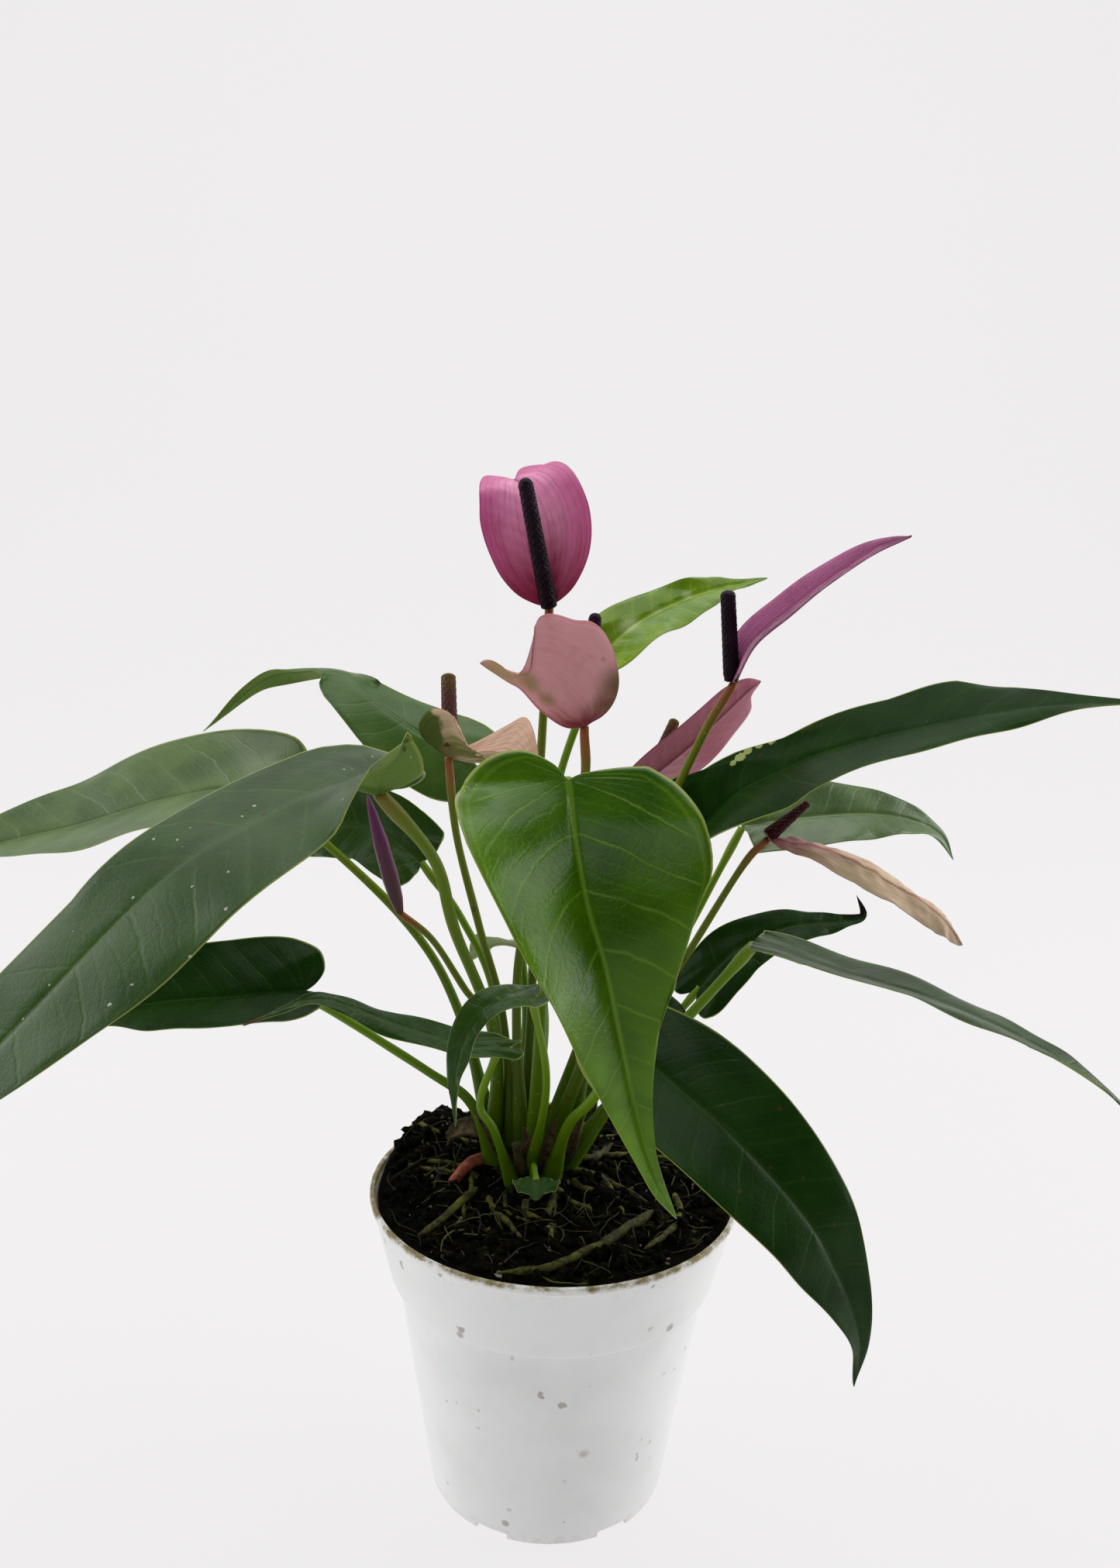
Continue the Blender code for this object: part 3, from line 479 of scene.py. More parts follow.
class Blade:
    """A leaf or spathe: its midrib, its frame along the midrib, and its surface."""

    SAMPLES = 201

    def __init__(self, name, row, outline):
        self.name, self.row = name, row
        self.path = smooth_curve(above_rim(row["spine"]), self.SAMPLES)
        self.length = np.linalg.norm(np.diff(self.path, axis=0), axis=1).sum()
        self.ahead = unit(np.gradient(self.path, axis=0))
        share = np.linspace(0, 1, self.SAMPLES)[:, None]
        base_face = np.array(row["face"], float)
        tip_face = np.array(row.get("face_tip", row["face"]), float)
        looks = unit(base_face) * (1 - share) + unit(tip_face) * share
        self.up = unit(looks - (looks * self.ahead).sum(1, keepdims=True) * self.ahead)
        if row.get("upright"):
            self.up = np.tile(unit(base_face), (self.SAMPLES, 1))
        self.right = unit(np.cross(self.ahead, self.up))
        self.half_width = row["width"] / 2
        near = row.get("outline", outline)
        halves = (near, row.get("outline_right", near))
        self.outlines = [smooth_curve(half, self.SAMPLES) for half in halves]
        self.fold_span = row.get("fold_span", FOLD_MIDDLE)
        base = row["fold"]
        middle = row.get("fold_mid", base)
        tip = row.get("fold_tip", middle)
        self.folds = [[radians(stage[side]) for stage in (base, middle, tip)] for side in (0, 1)]

    def at(self, values, place):
        """Columns of values sampled along the midrib, read at each place."""
        steps = np.linspace(0, 1, self.SAMPLES)
        return np.stack([np.interp(place, steps, column) for column in values.T], axis=-1)

    def fold_at(self, place, side):
        base, middle, tip = self.folds[side]
        span = self.fold_span
        early = middle + (base - middle) * (1 - place / span) ** 2
        late = middle + (tip - middle) * (place - span) / (1 - span)
        return np.where(place < span, early, late)

    def surface(self, along, across):
        """Points, and for each its distance from the midrib and its place along it, in millimetres."""
        row = self.row
        side = (across > 0).astype(int)
        sign = np.where(side, 1.0, -1.0)
        edge = np.where(side[..., None], self.at(self.outlines[1], along), self.at(self.outlines[0], along))
        lobe = np.array(row.get("lobe", (1.0, 1.0)))[side]
        edge_y = np.where(edge[..., 1] < 0, edge[..., 1] * lobe, edge[..., 1])
        reach = np.abs(across)
        forward = (1 - reach) * along + reach * edge_y
        trim = np.where(side, self.trim_at(along, 1), self.trim_at(along, 0))
        out = reach * edge[..., 0] * self.half_width * (1 + sign * row.get("skew", 0.0)) * trim
        place = np.clip(forward, 0, 1)
        cup = np.radians(np.array(row.get("cup", (0.0, 0.0)), float))[side]
        rise = np.where(side, self.fold_at(place, 1), self.fold_at(place, 0))
        rise = rise + cup * reach * edge[..., 0] / 2
        past = (forward - place) * self.length
        points = (self.at(self.path, place) + self.at(self.ahead, place) * past[..., None]
                  + self.at(self.right, place) * (sign * out * np.cos(rise))[..., None]
                  + self.at(self.up, place) * (out * np.sin(rise))[..., None])
        return points, out, forward * self.length

    def trim_at(self, along, side):
        """How much wider or narrower than its outline a half is, at even steps along the margin."""
        steps = self.row.get("trim", ((1.0,), (1.0,)))[side]
        return np.interp(along, np.linspace(0, 1, len(steps)), steps)

    def vein_phase(self, out, forward):
        """Whole numbers along each side vein: forward ones up the blade, fanned ones in the lobes."""
        rise = 0.50 * out + 0.009 * out**2
        fan = np.arctan2(np.maximum(rise - forward, 0), np.maximum(out, 1e-6))
        ahead = (forward - rise) / (self.length / SIDE_VEINS)
        return np.where(ahead >= 0, ahead, -fan / LOBE_VEIN_ANGLE)


def grid_normal(points):
    """The normal at each point of a grid, also where its end rows close to a point."""
    normal = unit(np.nan_to_num(np.cross(np.gradient(points, axis=1), np.gradient(points, axis=0))))
    normal[0], normal[-1] = normal[1].mean(0), normal[-2].mean(0)
    return unit(normal)


def sheet_faces(rows, columns):
    """Faces of a thin closed sheet: its upper grid, its lower grid, and the strip round the margin."""
    count = rows * columns
    faces = grid_faces(rows, columns)
    faces += [face[::-1] for face in grid_faces(rows, columns, first=count)]
    margin = [*range(0, columns), *range(2 * columns - 1, count, columns),
              *range(count - 2, count - columns - 1, -1), *range(count - 2 * columns, 0, -columns)]
    for start, end in zip(margin, margin[1:] + margin[:1]):
        faces.append([end, start, start + count, end + count])
    return faces


def blade_shape(blade, rows, columns):
    """The upper and the lower surface of a blade, waved, quilted between its veins and ribbed below."""
    row, seed = blade.row, seed_of(blade.name)
    along = np.linspace(0, 1, rows)
    along = mix(along, 0.5 - 0.5 * np.cos(along * pi), 0.35)[:, None] * np.ones((1, columns))
    across = np.linspace(-1, 1, columns)
    across = (np.sign(across) * np.abs(across) ** 1.25)[None, :] * np.ones((rows, 1))
    points, out, forward = blade.surface(along, across)
    normal = grid_normal(points)
    reach = np.abs(across)
    waves, depth = row["waves"]
    shift = (seed % 17) / 17
    side_shift = np.where(across > 0, shift, shift * 0.6 + 0.37)
    envelope = np.sin(along * pi) ** 0.5
    wave = depth * reach**2.2 * envelope * np.sin(tau * (waves * along + side_shift))
    wave = wave + 0.45 * depth * reach**3 * envelope * np.sin(tau * (waves * 2.3 * along + side_shift * 3))
    phase = blade.vein_phase(out, forward)
    gap = np.abs(phase - np.round(phase)) * 2
    inner = smoothstep(reach, 0.0, 0.2) * (1 - smoothstep(reach, 0.82, 0.95))
    inner = inner * (1 - smoothstep(along, 0.75, 1.0))
    quilt = row["quilt"] * np.sin(gap * pi / 2) * inner
    swell = row["swell"] * roughness(points, 22.0, seed) * (0.3 + 0.7 * reach)
    crumple = row["crumple"]
    if crumple:
        swell = swell + crumple * roughness(points, 5.0, seed + 5)
        swell = swell + crumple * 0.45 * roughness(points, 2.2, seed + 9)
    groove = row["groove"] * bump_at(out, 0, 1.1) * (1 - 0.7 * along)
    middle = points + normal * (wave + quilt + swell)[..., None]
    thick = row["thick"] / 2 * (0.25 + 0.75 * (1 - reach**6))
    rib_base, rib_tip = row["rib"]
    rib = mix(rib_base, rib_tip, np.clip(along, 0, 1) ** 0.6) * bump_at(out, 0, 0.55 + 0.45 * (1 - along))
    rib = rib * smoothstep(1 - along, 0.0, 0.08)
    vein = row["vein_relief"] * (1 - smoothstep(gap, 0.0, 0.22)) * inner
    upper = middle + normal * (thick - groove)[..., None]
    lower = middle - normal * (thick + rib + vein)[..., None]
    ends = np.zeros((rows, 1, 1), bool)
    ends[0], ends[-1] = True, True
    upper, lower = np.where(ends, middle, upper), np.where(ends, middle, lower)
    flat = np.vstack([upper.reshape(-1, 3), lower.reshape(-1, 3)])
    grid = np.stack([(across + 1) / 2, along], axis=-1).reshape(-1, 2)
    veins = np.stack([phase, out], axis=-1).reshape(-1, 2)
    return flat, {"grid": np.vstack([grid, grid]), "veins": np.vstack([veins, veins])}


def add_blade(piece, node, blade, looks, slot):
    """A blade as a thin closed sheet with its two faces in their own materials."""
    points, layers = blade_shape(blade, SHEET_ROWS, SHEET_COLUMNS)
    faces = sheet_faces(SHEET_ROWS, SHEET_COLUMNS)
    made = make_mesh(piece, points, faces, layers, looks)
    one_side = (SHEET_ROWS - 1) * (SHEET_COLUMNS - 1)
    which = np.zeros(len(faces), np.int32)
    which[one_side:2 * one_side] = 1
    made.data.polygons.foreach_set("material_index", which)
    bm = bmesh.new()
    bm.from_mesh(made.data)
    bmesh.ops.remove_doubles(bm, verts=bm.verts, dist=MERGE_DISTANCE)
    bm.to_mesh(made.data)
    bm.free()
    return finish_piece(made, slot, node)


# ---------------------------------------------------------------- stalks

def soil_height(x, y):
    """The soil's mean surface: just under the rim, mounded at the crown and banked up at the back left."""
    mound = np.hypot(x - CROWN_PLACE[0], y - CROWN_PLACE[1]) / MOUND_SPREAD
    bank = np.hypot(x - BANK_PLACE[0], y - BANK_PLACE[1]) / BANK_SPREAD
    return (RIM_HEIGHT - SOIL_EDGE_DROP + MOUND_HEIGHT * np.exp(-mound**2)
            + BANK_HEIGHT * np.exp(-bank**2))


def crown_height(x, y):
    reach = min(hypot(x - CROWN_PLACE[0], y - CROWN_PLACE[1]) / CROWN_RADIUS, 1.0)
    return soil_height(x, y) + CROWN_HEIGHT * (1 - reach**2)


def stalk_route(row, end, count=60):
    """A stalk's line from inside the crown to its end, with slight natural bends."""
    distance, heading = row["foot"]
    x = CROWN_PLACE[0] + distance * cos(radians(heading))
    y = CROWN_PLACE[1] + distance * sin(radians(heading))
    foot = (x, y, crown_height(x, y) - 2.5)
    return smooth_curve((foot, *above_rim(row["via"]), end), count)


def add_stalk(piece, node, row, end, look, slot, knee=0.0, sides=14):
    """A stalk that swells at its sheath and at the joint under its blade."""
    route = stalk_route(row, end)
    share = np.linspace(0, 1, len(route))
    seed = seed_of(piece)
    radii = mix(row["stalk"][0], row["stalk"][1], share) / 2
    radii = radii * (1 + 0.95 * bump_at(share, 0.0, 0.20) + knee * bump_at(share, 0.94, 0.045))
    radii = radii * (1 + 0.03 * np.sin(share * 23 + seed))
    turns = np.linspace(0, tau, sides, endpoint=False)
    groove = 1 - 0.10 * bump_at(np.angle(np.exp(1j * (turns - 1.2))), 0, 0.5)
    add_piece(piece, tube(route, radii[:, None] * groove[None, :], sides), look, slot, node)


def add_spadix(piece, node, row, start, look):
    """The flower spike: a tapering rod set with tiny flowers on two crossing spirals."""
    rings, sides = 190, 96
    end = above_rim(row["spadix"])
    route = smooth_curve((start, (start + end) / 2, end), rings)
    length = np.linalg.norm(end - start)
    share = np.linspace(0, 1, rings)[:, None]
    turns = np.linspace(0, tau, sides, endpoint=False)[None, :]
    radius = mix(row["spike"][0], row["spike"][1], share) / 2
    radius = radius * (1 - 0.12 * bump_at(share, 0, 0.05))
    tip = np.clip((share - 1 + 0.055) / 0.055, 0, 1)
    radius = radius * np.sqrt(np.maximum(1 - tip**2, 0.0004))
    rows_up = length / 0.95
    left = np.cos(13 * turns + tau * rows_up * 0.5 * share)
    right = np.cos(8 * turns - tau * rows_up * 0.5 * share)
    pebble = 0.045 * (left + right) * (1 - tip)
    add_piece(piece, tube(route, radius + pebble * row["spike"][0] / 4, sides), look, "spadix", node)


# ---------------------------------------------------------------- materials

class Wire:
    """A number in a material's node tree, with the sums that shaders need."""

    def __init__(self, nodes, socket):
        self.nodes, self.socket = nodes, socket

    def math(self, operation, *others):
        made = self.nodes.add("ShaderNodeMath", operation=operation)
        for index, value in enumerate((self, *others)):
            self.nodes.feed(made.inputs[index], value)
        return Wire(self.nodes, made.outputs[0])

    def __add__(self, other):
        return self.math("ADD", other)

    def __sub__(self, other):
        return self.math("SUBTRACT", other)

    def __mul__(self, other):
        return self.math("MULTIPLY", other)

    def __truediv__(self, other):
        return self.math("DIVIDE", other)

    def __abs__(self):
        return self.math("ABSOLUTE")

    def max(self, other):
        return self.math("MAXIMUM", other)

    def min(self, other):
        return self.math("MINIMUM", other)

    def power(self, other):
        return self.math("POWER", other)

    def to_nearest(self):
        """How far the number is from the nearest whole one."""
        return abs(self - self.math("ROUND"))

    def ramp(self, low, high, start=0.0, end=1.0):
        """start below low, end above high, and a smooth step between."""
        made = self.nodes.add("ShaderNodeMapRange", interpolation_type="SMOOTHSTEP")
        self.nodes.feed(made.inputs["Value"], self)
        for name, value in (("From Min", low), ("From Max", high), ("To Min", start), ("To Max", end)):
            made.inputs[name].default_value = value
        return Wire(self.nodes, made.outputs[0])


class Looks:
    """A material under construction."""

    def __init__(self, name):
        self.material = bpy.data.materials.new(name)
        self.material.use_nodes = True
        self.tree = self.material.node_tree
        self.shader = self.tree.nodes["Principled BSDF"]
        self.coords = self.add("ShaderNodeTexCoord").outputs["Object"]

    def add(self, kind, **settings):
        made = self.tree.nodes.new(kind)
        for name, value in settings.items():
            setattr(made, name, value)
        return made

    def feed(self, socket, value):
        if isinstance(value, Wire):
            self.tree.links.new(value.socket, socket)
        elif isinstance(value, bpy.types.NodeSocket):
            self.tree.links.new(value, socket)
        elif isinstance(value, tuple) and len(value) == 3 and socket.type == "RGBA":
            socket.default_value = (*value, 1.0)
        else:
            socket.default_value = value

    def layer(self, name):
        """The two numbers of a UV map."""
        made = self.add("ShaderNodeUVMap", uv_map=name)
        split = self.add("ShaderNodeSeparateXYZ")
        self.feed(split.inputs[0], made.outputs[0])
        return Wire(self, split.outputs[0]), Wire(self, split.outputs[1])

    def place(self):
        """x, y and z in millimetres."""
        split = self.add("ShaderNodeSeparateXYZ")
        self.feed(split.inputs[0], self.coords)
        return [Wire(self, socket) * (1 / MM) for socket in split.outputs]

    def squeezed(self, stretch):
        made = self.add("ShaderNodeVectorMath", operation="MULTIPLY")
        self.feed(made.inputs[0], self.coords)
        made.inputs[1].default_value = stretch
        return made.outputs[0]

    def noise(self, size, detail=4.0, rough=0.55, warp=0.0, vector=None):
        """Cloudy noise of 0 to 1 whose features are about size millimetres across."""
        made = self.add("ShaderNodeTexNoise")
        self.feed(made.inputs["Vector"], vector or self.coords)
        made.inputs["Scale"].default_value = 1 / (size * MM)
        made.inputs["Detail"].default_value = detail
        made.inputs["Roughness"].default_value = rough
        made.inputs["Distortion"].default_value = warp
        return Wire(self, made.outputs[0])

    def cells(self, size, feature="F1", vector=None):
        made = self.add("ShaderNodeTexVoronoi", feature=feature)
        self.feed(made.inputs["Vector"], vector or self.coords)
        made.inputs["Scale"].default_value = 1 / (size * MM)
        return Wire(self, made.outputs["Distance"]), made

    def specks(self, size, share):
        """1 on scattered dots, on about the given share of cells, and 0 elsewhere."""
        shift = self.add("ShaderNodeTexNoise")
        self.feed(shift.inputs["Vector"], self.coords)
        shift.inputs["Scale"].default_value = 2.5 / (size * MM)
        warped = self.add("ShaderNodeVectorMath", operation="MULTIPLY_ADD")
        self.feed(warped.inputs[0], shift.outputs["Color"])
        warped.inputs[1].default_value = [size * MM * 0.55] * 3
        self.feed(warped.inputs[2], self.coords)
        distance, made = self.cells(size, vector=warped.outputs[0])
        split = self.add("ShaderNodeSeparateColor")
        self.feed(split.inputs[0], made.outputs["Color"])
        pick = Wire(self, split.outputs[0]).ramp(1 - share, 1 - share * 0.9)
        reach = Wire(self, split.outputs[1]) * 0.22 + 0.05
        return pick * (distance - reach).ramp(-0.02, 0.03, 1.0, 0.0)

    def near(self, centre, radius, soft):
        """1 within radius millimetres of a place, fading to 0 over soft millimetres."""
        made = self.add("ShaderNodeVectorMath", operation="DISTANCE")
        self.feed(made.inputs[0], self.coords)
        made.inputs[1].default_value = [value * MM for value in centre]
        wavy = Wire(self, made.outputs["Value"]) * (1 / MM) + (self.noise(4.0) - 0.5) * (radius * 0.8)
        return wavy.ramp(radius, radius + soft, 1.0, 0.0)

    def blend(self, share, first, second):
        made = self.add("ShaderNodeMix", data_type="RGBA")
        self.feed(made.inputs[0], share)
        self.feed(made.inputs[6], first)
        self.feed(made.inputs[7], second)
        return made.outputs[2]

    def finish(self, colour, rough, height=None, depth=0.2, **constants):
        """Wires the shader: height in millimetres of relief of the given depth."""
        self.feed(self.shader.inputs["Base Color"], colour)
        self.feed(self.shader.inputs["Roughness"], rough)
        if height is not None:
            made = self.add("ShaderNodeBump")
            made.inputs["Strength"].default_value = 1.0
            made.inputs["Distance"].default_value = depth * MM
            self.feed(made.inputs["Height"], height)
            self.feed(self.shader.inputs["Normal"], made.outputs[0])
        for name, value in constants.items():
            self.shader.inputs[name.replace("_", " ")].default_value = value
        return self.material


def leaf_looks(name, base, light, vein, under, gloss=0.30, shine=0.4, marks=(), scars=(),
               speckled=0.0, vein_show=0.5, painted_glow=None):
    """The upper and lower faces of a leaf: veins, cloudy greens, a pale margin, wax and blemishes."""
    made = []
    for face in ("upper", "under"):
        look = Looks(f"{name} {face}")
        across, along = look.layer("grid")
        phase, out = look.layer("veins")
        reach = abs(across * 2.0 - 1.0)
        inner = reach.ramp(0.86, 0.93, 1.0, 0.0)
        wander = (look.noise(24.0, 2.0) - 0.5) * 0.4 + (look.noise(5.0, 2.0) - 0.5) * 0.10
        gap = (phase + wander).to_nearest()
        lateral = gap.ramp(0.008, 0.050, 1.0, 0.0) * inner * reach.ramp(0.0, 0.05)
        lateral = lateral * look.noise(11.0, 2.0).ramp(0.25, 0.60, 0.25, 1.0)
        minor = (phase * 3.0 + wander * 5.0).to_nearest().ramp(0.02, 0.16, 1.0, 0.0) * inner
        rib = out.ramp(0.35, 1.25, 1.0, 0.0) * along.ramp(0.55, 1.0, 1.0, 0.35)
        collective = abs(reach - 0.925).ramp(0.004, 0.02, 1.0, 0.0)
        margin = reach.ramp(0.975, 0.992)
        net, _ = look.cells(1.9, "DISTANCE_TO_EDGE")
        net = net.ramp(0.02, 0.11, 1.0, 0.0)
        cloud = look.noise(15.0, 3.0)
        grain = look.noise(1.3, 3.0, 0.7)
        tone = (cloud.ramp(0.34, 0.68) * 0.7 + grain * 0.3).min(1.0)
        if face == "upper":
            colour = look.blend(tone, base, light)
            # Painted light: the upper face is made lighter towards the tip and towards its right-hand half.
            if painted_glow:
                colour = look.blend((along.ramp(0.15, 0.95) * 0.8 + across.ramp(0.35, 0.9) * 0.25).min(1.0)
                                    * cloud.ramp(0.25, 0.6, 0.55, 1.0), colour, painted_glow)
            colour = look.blend(gap.ramp(0.03, 0.35, 0.20, 0.0) * inner, colour, light)
            show = vein_show
        else:
            colour = look.blend(tone, under, tuple(value * 1.25 for value in under))
            show = min(1.0, vein_show * 0.9)
        colour = look.blend(minor * 0.06 + net * 0.05, colour, vein)
        colour = look.blend((lateral * show).max(rib * min(1.0, show * 1.5)).max(collective * show * 0.6),
                            colour, vein)
        colour = look.blend(margin * 0.75, colour, (0.30, 0.36, 0.08))
        old = look.noise(26.0, 5.0, 0.6).ramp(0.66, 0.80) * reach.ramp(0.75, 1.0) * 0.5
        colour = look.blend(old, colour, (0.20, 0.17, 0.03))
        if speckled:
            colour = look.blend(look.specks(2.0, speckled) * 0.8, colour, (0.42, 0.45, 0.34))
            colour = look.blend(look.specks(6.5, speckled * 0.8) * 0.9, colour, (0.03, 0.02, 0.008))
        colour = look.blend(look.specks(2.6, 0.05) * 0.6, colour, (0.06, 0.035, 0.010))
        for centre, radius, soft, tint in marks:
            colour = look.blend(look.near(centre, radius, soft), colour, tint)
        if scars:
            scar = look.near(*scars[0])
            for place in scars[1:]:
                scar = scar.max(look.near(*place))
            scar = (scar + (look.noise(1.1, 4.0, 0.7) - 0.5) * 1.5).ramp(0.45, 0.60)
            colour = look.blend(scar, colour, SCAR_TINT)
        relief = rib * 0.4 + lateral * 0.16 + minor * 0.08 + net * 0.06 + grain * 0.10 + cloud * 0.25
        if face == "upper":
            relief = relief * -1.0
        dull = look.noise(9.0, 4.0, 0.7)
        rough = dull * 0.16 + (gloss - 0.06) if face == "upper" else dull * 0.12 + (gloss + 0.18)
        made.append(look.finish(colour, rough, relief, 0.22 if face == "upper" else 0.30,
                                Specular_IOR_Level=shine if face == "upper" else shine * 0.7))
    return made


def spathe_looks(name, length, inside, edge, base, outside, vein, base_out=None, base_reach=8.0,
                 lines=0.22, gloss=0.32, marks=()):
    """The inner and outer faces of a spathe: colours that shift over it, fine lengthwise veins and wax."""
    made = []
    for face, tint, foot in (("inside", inside, base), ("outside", outside, base_out or base)):
        look = Looks(f"{name} {face}")
        across, along = look.layer("grid")
        _, out = look.layer("veins")
        reach = abs(across * 2.0 - 1.0)
        from_base = (out * out + (along * along) * length**2).power(0.5)
        cloud = look.noise(7.0, 4.0, 0.6)
        join = look.add("ShaderNodeCombineXYZ")
        look.feed(join.inputs[0], across * 15.0)
        look.feed(join.inputs[1], along * 1.6)
        streak = look.noise(1 / MM, 4.0, 0.6, vector=join.outputs[0])
        fine = (reach * 9.0 + streak * 2.0).to_nearest().ramp(0.02, 0.20, 1.0, 0.0)
        rib = out.ramp(0.25, 0.9, 1.0, 0.0)
        colour = look.blend(reach.ramp(0.35, 0.95) * 0.8, tint, edge)
        colour = look.blend(streak.ramp(0.42, 0.68) * 0.55, colour, edge)
        colour = look.blend(cloud.ramp(0.50, 0.78) * 0.4, colour, vein)
        colour = look.blend((fine * lines + rib * 0.7).min(1.0), colour, vein)
        ragged = from_base + (streak - 0.5) * base_reach * 0.9
        colour = look.blend(ragged.ramp(base_reach * 0.2, base_reach, 0.97, 0.0), colour, foot)
        colour = look.blend(reach.ramp(0.965, 0.995) * 0.5, colour, vein)
        colour = look.blend(look.specks(2.2, 0.10) * 0.4, colour, vein)
        for centre, radius, soft, tone in marks:
            colour = look.blend(look.near(centre, radius, soft), colour, tone)
        grain = look.noise(0.9, 3.0, 0.7)
        relief = rib * 0.6 + streak * 0.9 + fine * 0.25 + grain * 0.25
        made.append(look.finish(colour, look.noise(5.0) * 0.16 + gloss, relief, 0.20,
                                Specular_IOR_Level=0.3))
    return made


def stalk_look(name, low, high, blush, gloss=0.36):
    """A stalk's skin: fine lengthwise lines, a slow change of colour along it, scars and specks."""
    look = Looks(name)
    _, along = look.layer("grid")
    cloud = look.noise(5.0, 4.0, 0.6)
    lines = look.noise(0.8, 3.0, 0.6, vector=look.squeezed((1.0, 1.0, 0.08)))
    colour = look.blend(along.ramp(0.1, 0.8), low, high)
    colour = look.blend(along.ramp(0.86, 1.0) * 0.8, colour, blush)
    colour = look.blend(cloud.ramp(0.45, 0.80) * 0.12, colour, blush)
    colour = look.blend(along.ramp(0.0, 0.05, 0.6, 0.0), colour, (0.05, 0.035, 0.012))
    colour = look.blend(look.specks(1.6, 0.20) * 0.45, colour, (0.26, 0.30, 0.10))
    colour = look.blend(look.specks(4.5, 0.18) * 0.5, colour, (0.05, 0.03, 0.01))
    return look.finish(colour, cloud * 0.2 + (gloss - 0.1), lines * 0.7 + cloud * 0.4, 0.12,
                       Specular_IOR_Level=0.16)


def spadix_look(name, low, tip, painted_glint):
    """A flower spike: a painted glint at the middle of each tiny flower and in soft patches, and the tip
    another colour.
    """
    look = Looks(name)
    _, along = look.layer("grid")
    cell, _ = look.cells(0.6)
    cloud = look.noise(4.0)
    colour = look.blend(along.ramp(0.62, 1.0), low, tip)
    # Painted glint: a highlight painted lighter at the middle of each tiny flower and in soft patches.
    colour = look.blend(cell.ramp(0.05, 0.45, 0.45, 0.0), colour, painted_glint)
    colour = look.blend(cloud.ramp(0.5, 0.8) * 0.3, colour, painted_glint)
    return look.finish(colour, cell * 0.35 + 0.24, cell * -1.0, 0.20, Specular_IOR_Level=0.09)


def pot_look():
    """White moulded plastic with a satin face, fine scuffs, splashes and a line of algae at its rim."""
    look = Looks("Pot plastic")
    *_, height = look.place()
    cloud = look.noise(30.0, 4.0, 0.6)
    scuff = look.noise(2.5, 5.0, 0.75)
    colour = look.blend(cloud.ramp(0.4, 0.7), (0.86, 0.865, 0.86), (0.80, 0.81, 0.80))
    wear = look.noise(7.0, 5.0, 0.7)
    rim = (height + (wear - 0.5) * 4.0).ramp(RIM_HEIGHT - 1.6, RIM_HEIGHT - 0.2)
    colour = look.blend(rim * wear.ramp(0.34, 0.56), colour, (0.20, 0.15, 0.04))
    stain = (height + (cloud - 0.5) * 16.0).ramp(RIM_HEIGHT - 9.0, RIM_HEIGHT - 1.0) * scuff.ramp(0.45, 0.75)
    colour = look.blend(stain * 0.32, colour, (0.50, 0.46, 0.26))
    foot = (height + (wear - 0.5) * 5.0).ramp(0.0, 5.0, 1.0, 0.0)
    colour = look.blend(foot * scuff.ramp(0.45, 0.7) * 0.4, colour, (0.42, 0.38, 0.28))
    colour = look.blend(look.specks(5.5, 0.12) * 0.6, colour, (0.22, 0.18, 0.11))
    colour = look.blend(look.specks(3.0, 0.08) * 0.4, colour, (0.36, 0.31, 0.21))
    for mark in POT_MARKS:
        colour = look.blend(look.near(*mark) * 0.65, colour, (0.26, 0.22, 0.14))
    relief = scuff * 0.4 + look.noise(0.6, 2.0) * 0.5 + look.specks(5.5, 0.10) * 0.5
    return look.finish(colour, scuff * 0.16 + 0.34, relief, 0.035, Specular_IOR_Level=0.5,
                       Subsurface_Weight=0.15, Subsurface_Scale=0.002)


def soil_look(name, dark, light, mossy):
    """Peat: near black, with brown fibre, pale grains and a film of moss."""
    look = Looks(name)
    grain = look.noise(1.6, 6.0, 0.75)
    clump = look.noise(7.0, 4.0, 0.65)
    colour = look.blend(grain.ramp(0.40, 0.72), dark, light)
    colour = look.blend(clump.ramp(0.55, 0.75) * grain.ramp(0.4, 0.6) * mossy, colour, (0.075, 0.085, 0.022))
    colour = look.blend(look.specks(2.8, 0.12) * 0.8, colour, (0.16, 0.12, 0.06))
    colour = look.blend(look.specks(6.0, 0.10) * 0.8, colour, (0.38, 0.35, 0.27))
    return look.finish(colour, grain * 0.3 + 0.68, grain + clump * 0.6, 0.5, Specular_IOR_Level=0.03)


def bark_look(name, dark, light, moss, size=2.2, gloss=0.6):
    """Roots, stubs and dry sheaths: lengthwise fibre, cracks and moss in patches."""
    look = Looks(name)
    fibre = look.noise(size, 5.0, 0.7, 0.6)
    patch = look.noise(size * 3.5, 4.0, 0.6)
    colour = look.blend(fibre.ramp(0.36, 0.70), dark, light)
    colour = look.blend(patch.ramp(0.50, 0.70) * 0.7, colour, moss)
    colour = look.blend(look.specks(2.4, 0.15) * 0.7, colour, (0.02, 0.014, 0.008))
    return look.finish(colour, fibre * 0.2 + (gloss - 0.1), fibre + patch * 0.5, 0.35,
                       Specular_IOR_Level=0.15)


def ground_look(name):
    """The pale sweep, which glows a little so that it is even from edge to edge."""
    look = Looks(name)
    tone = look.noise(60.0, 2.0)
    colour = look.blend(tone, (0.07, 0.069, 0.070), (0.067, 0.066, 0.067))
    return look.finish(colour, 0.9, Specular_IOR_Level=0.1, Emission_Color=(0.855, 0.840, 0.848, 1.0),
                       Emission_Strength=0.933)


# ---------------------------------------------------------------- pot and soil

def turned(name, profile, sectors, looks, wobble=0.0):
    """A closed turned body from a (radius, height) profile that starts and ends on the axis."""
    profile = np.array(profile, float)
    inner = profile[1:-1]
    turns = np.linspace(0, tau, sectors, endpoint=False)
    radius = inner[:, :1] * (1 + wobble * np.sin(2 * turns + 0.7)[None, :] * (inner[:, 1:] / RIM_HEIGHT))
    points = np.stack([radius * np.cos(turns), radius * np.sin(turns),
                       np.broadcast_to(inner[:, 1:], radius.shape)], axis=-1).reshape(-1, 3)
    points = np.vstack([points, (0, 0, profile[0][1]), (0, 0, profile[-1][1])])
    return make_mesh(name, points, capped_faces(len(inner), sectors), {}, looks)


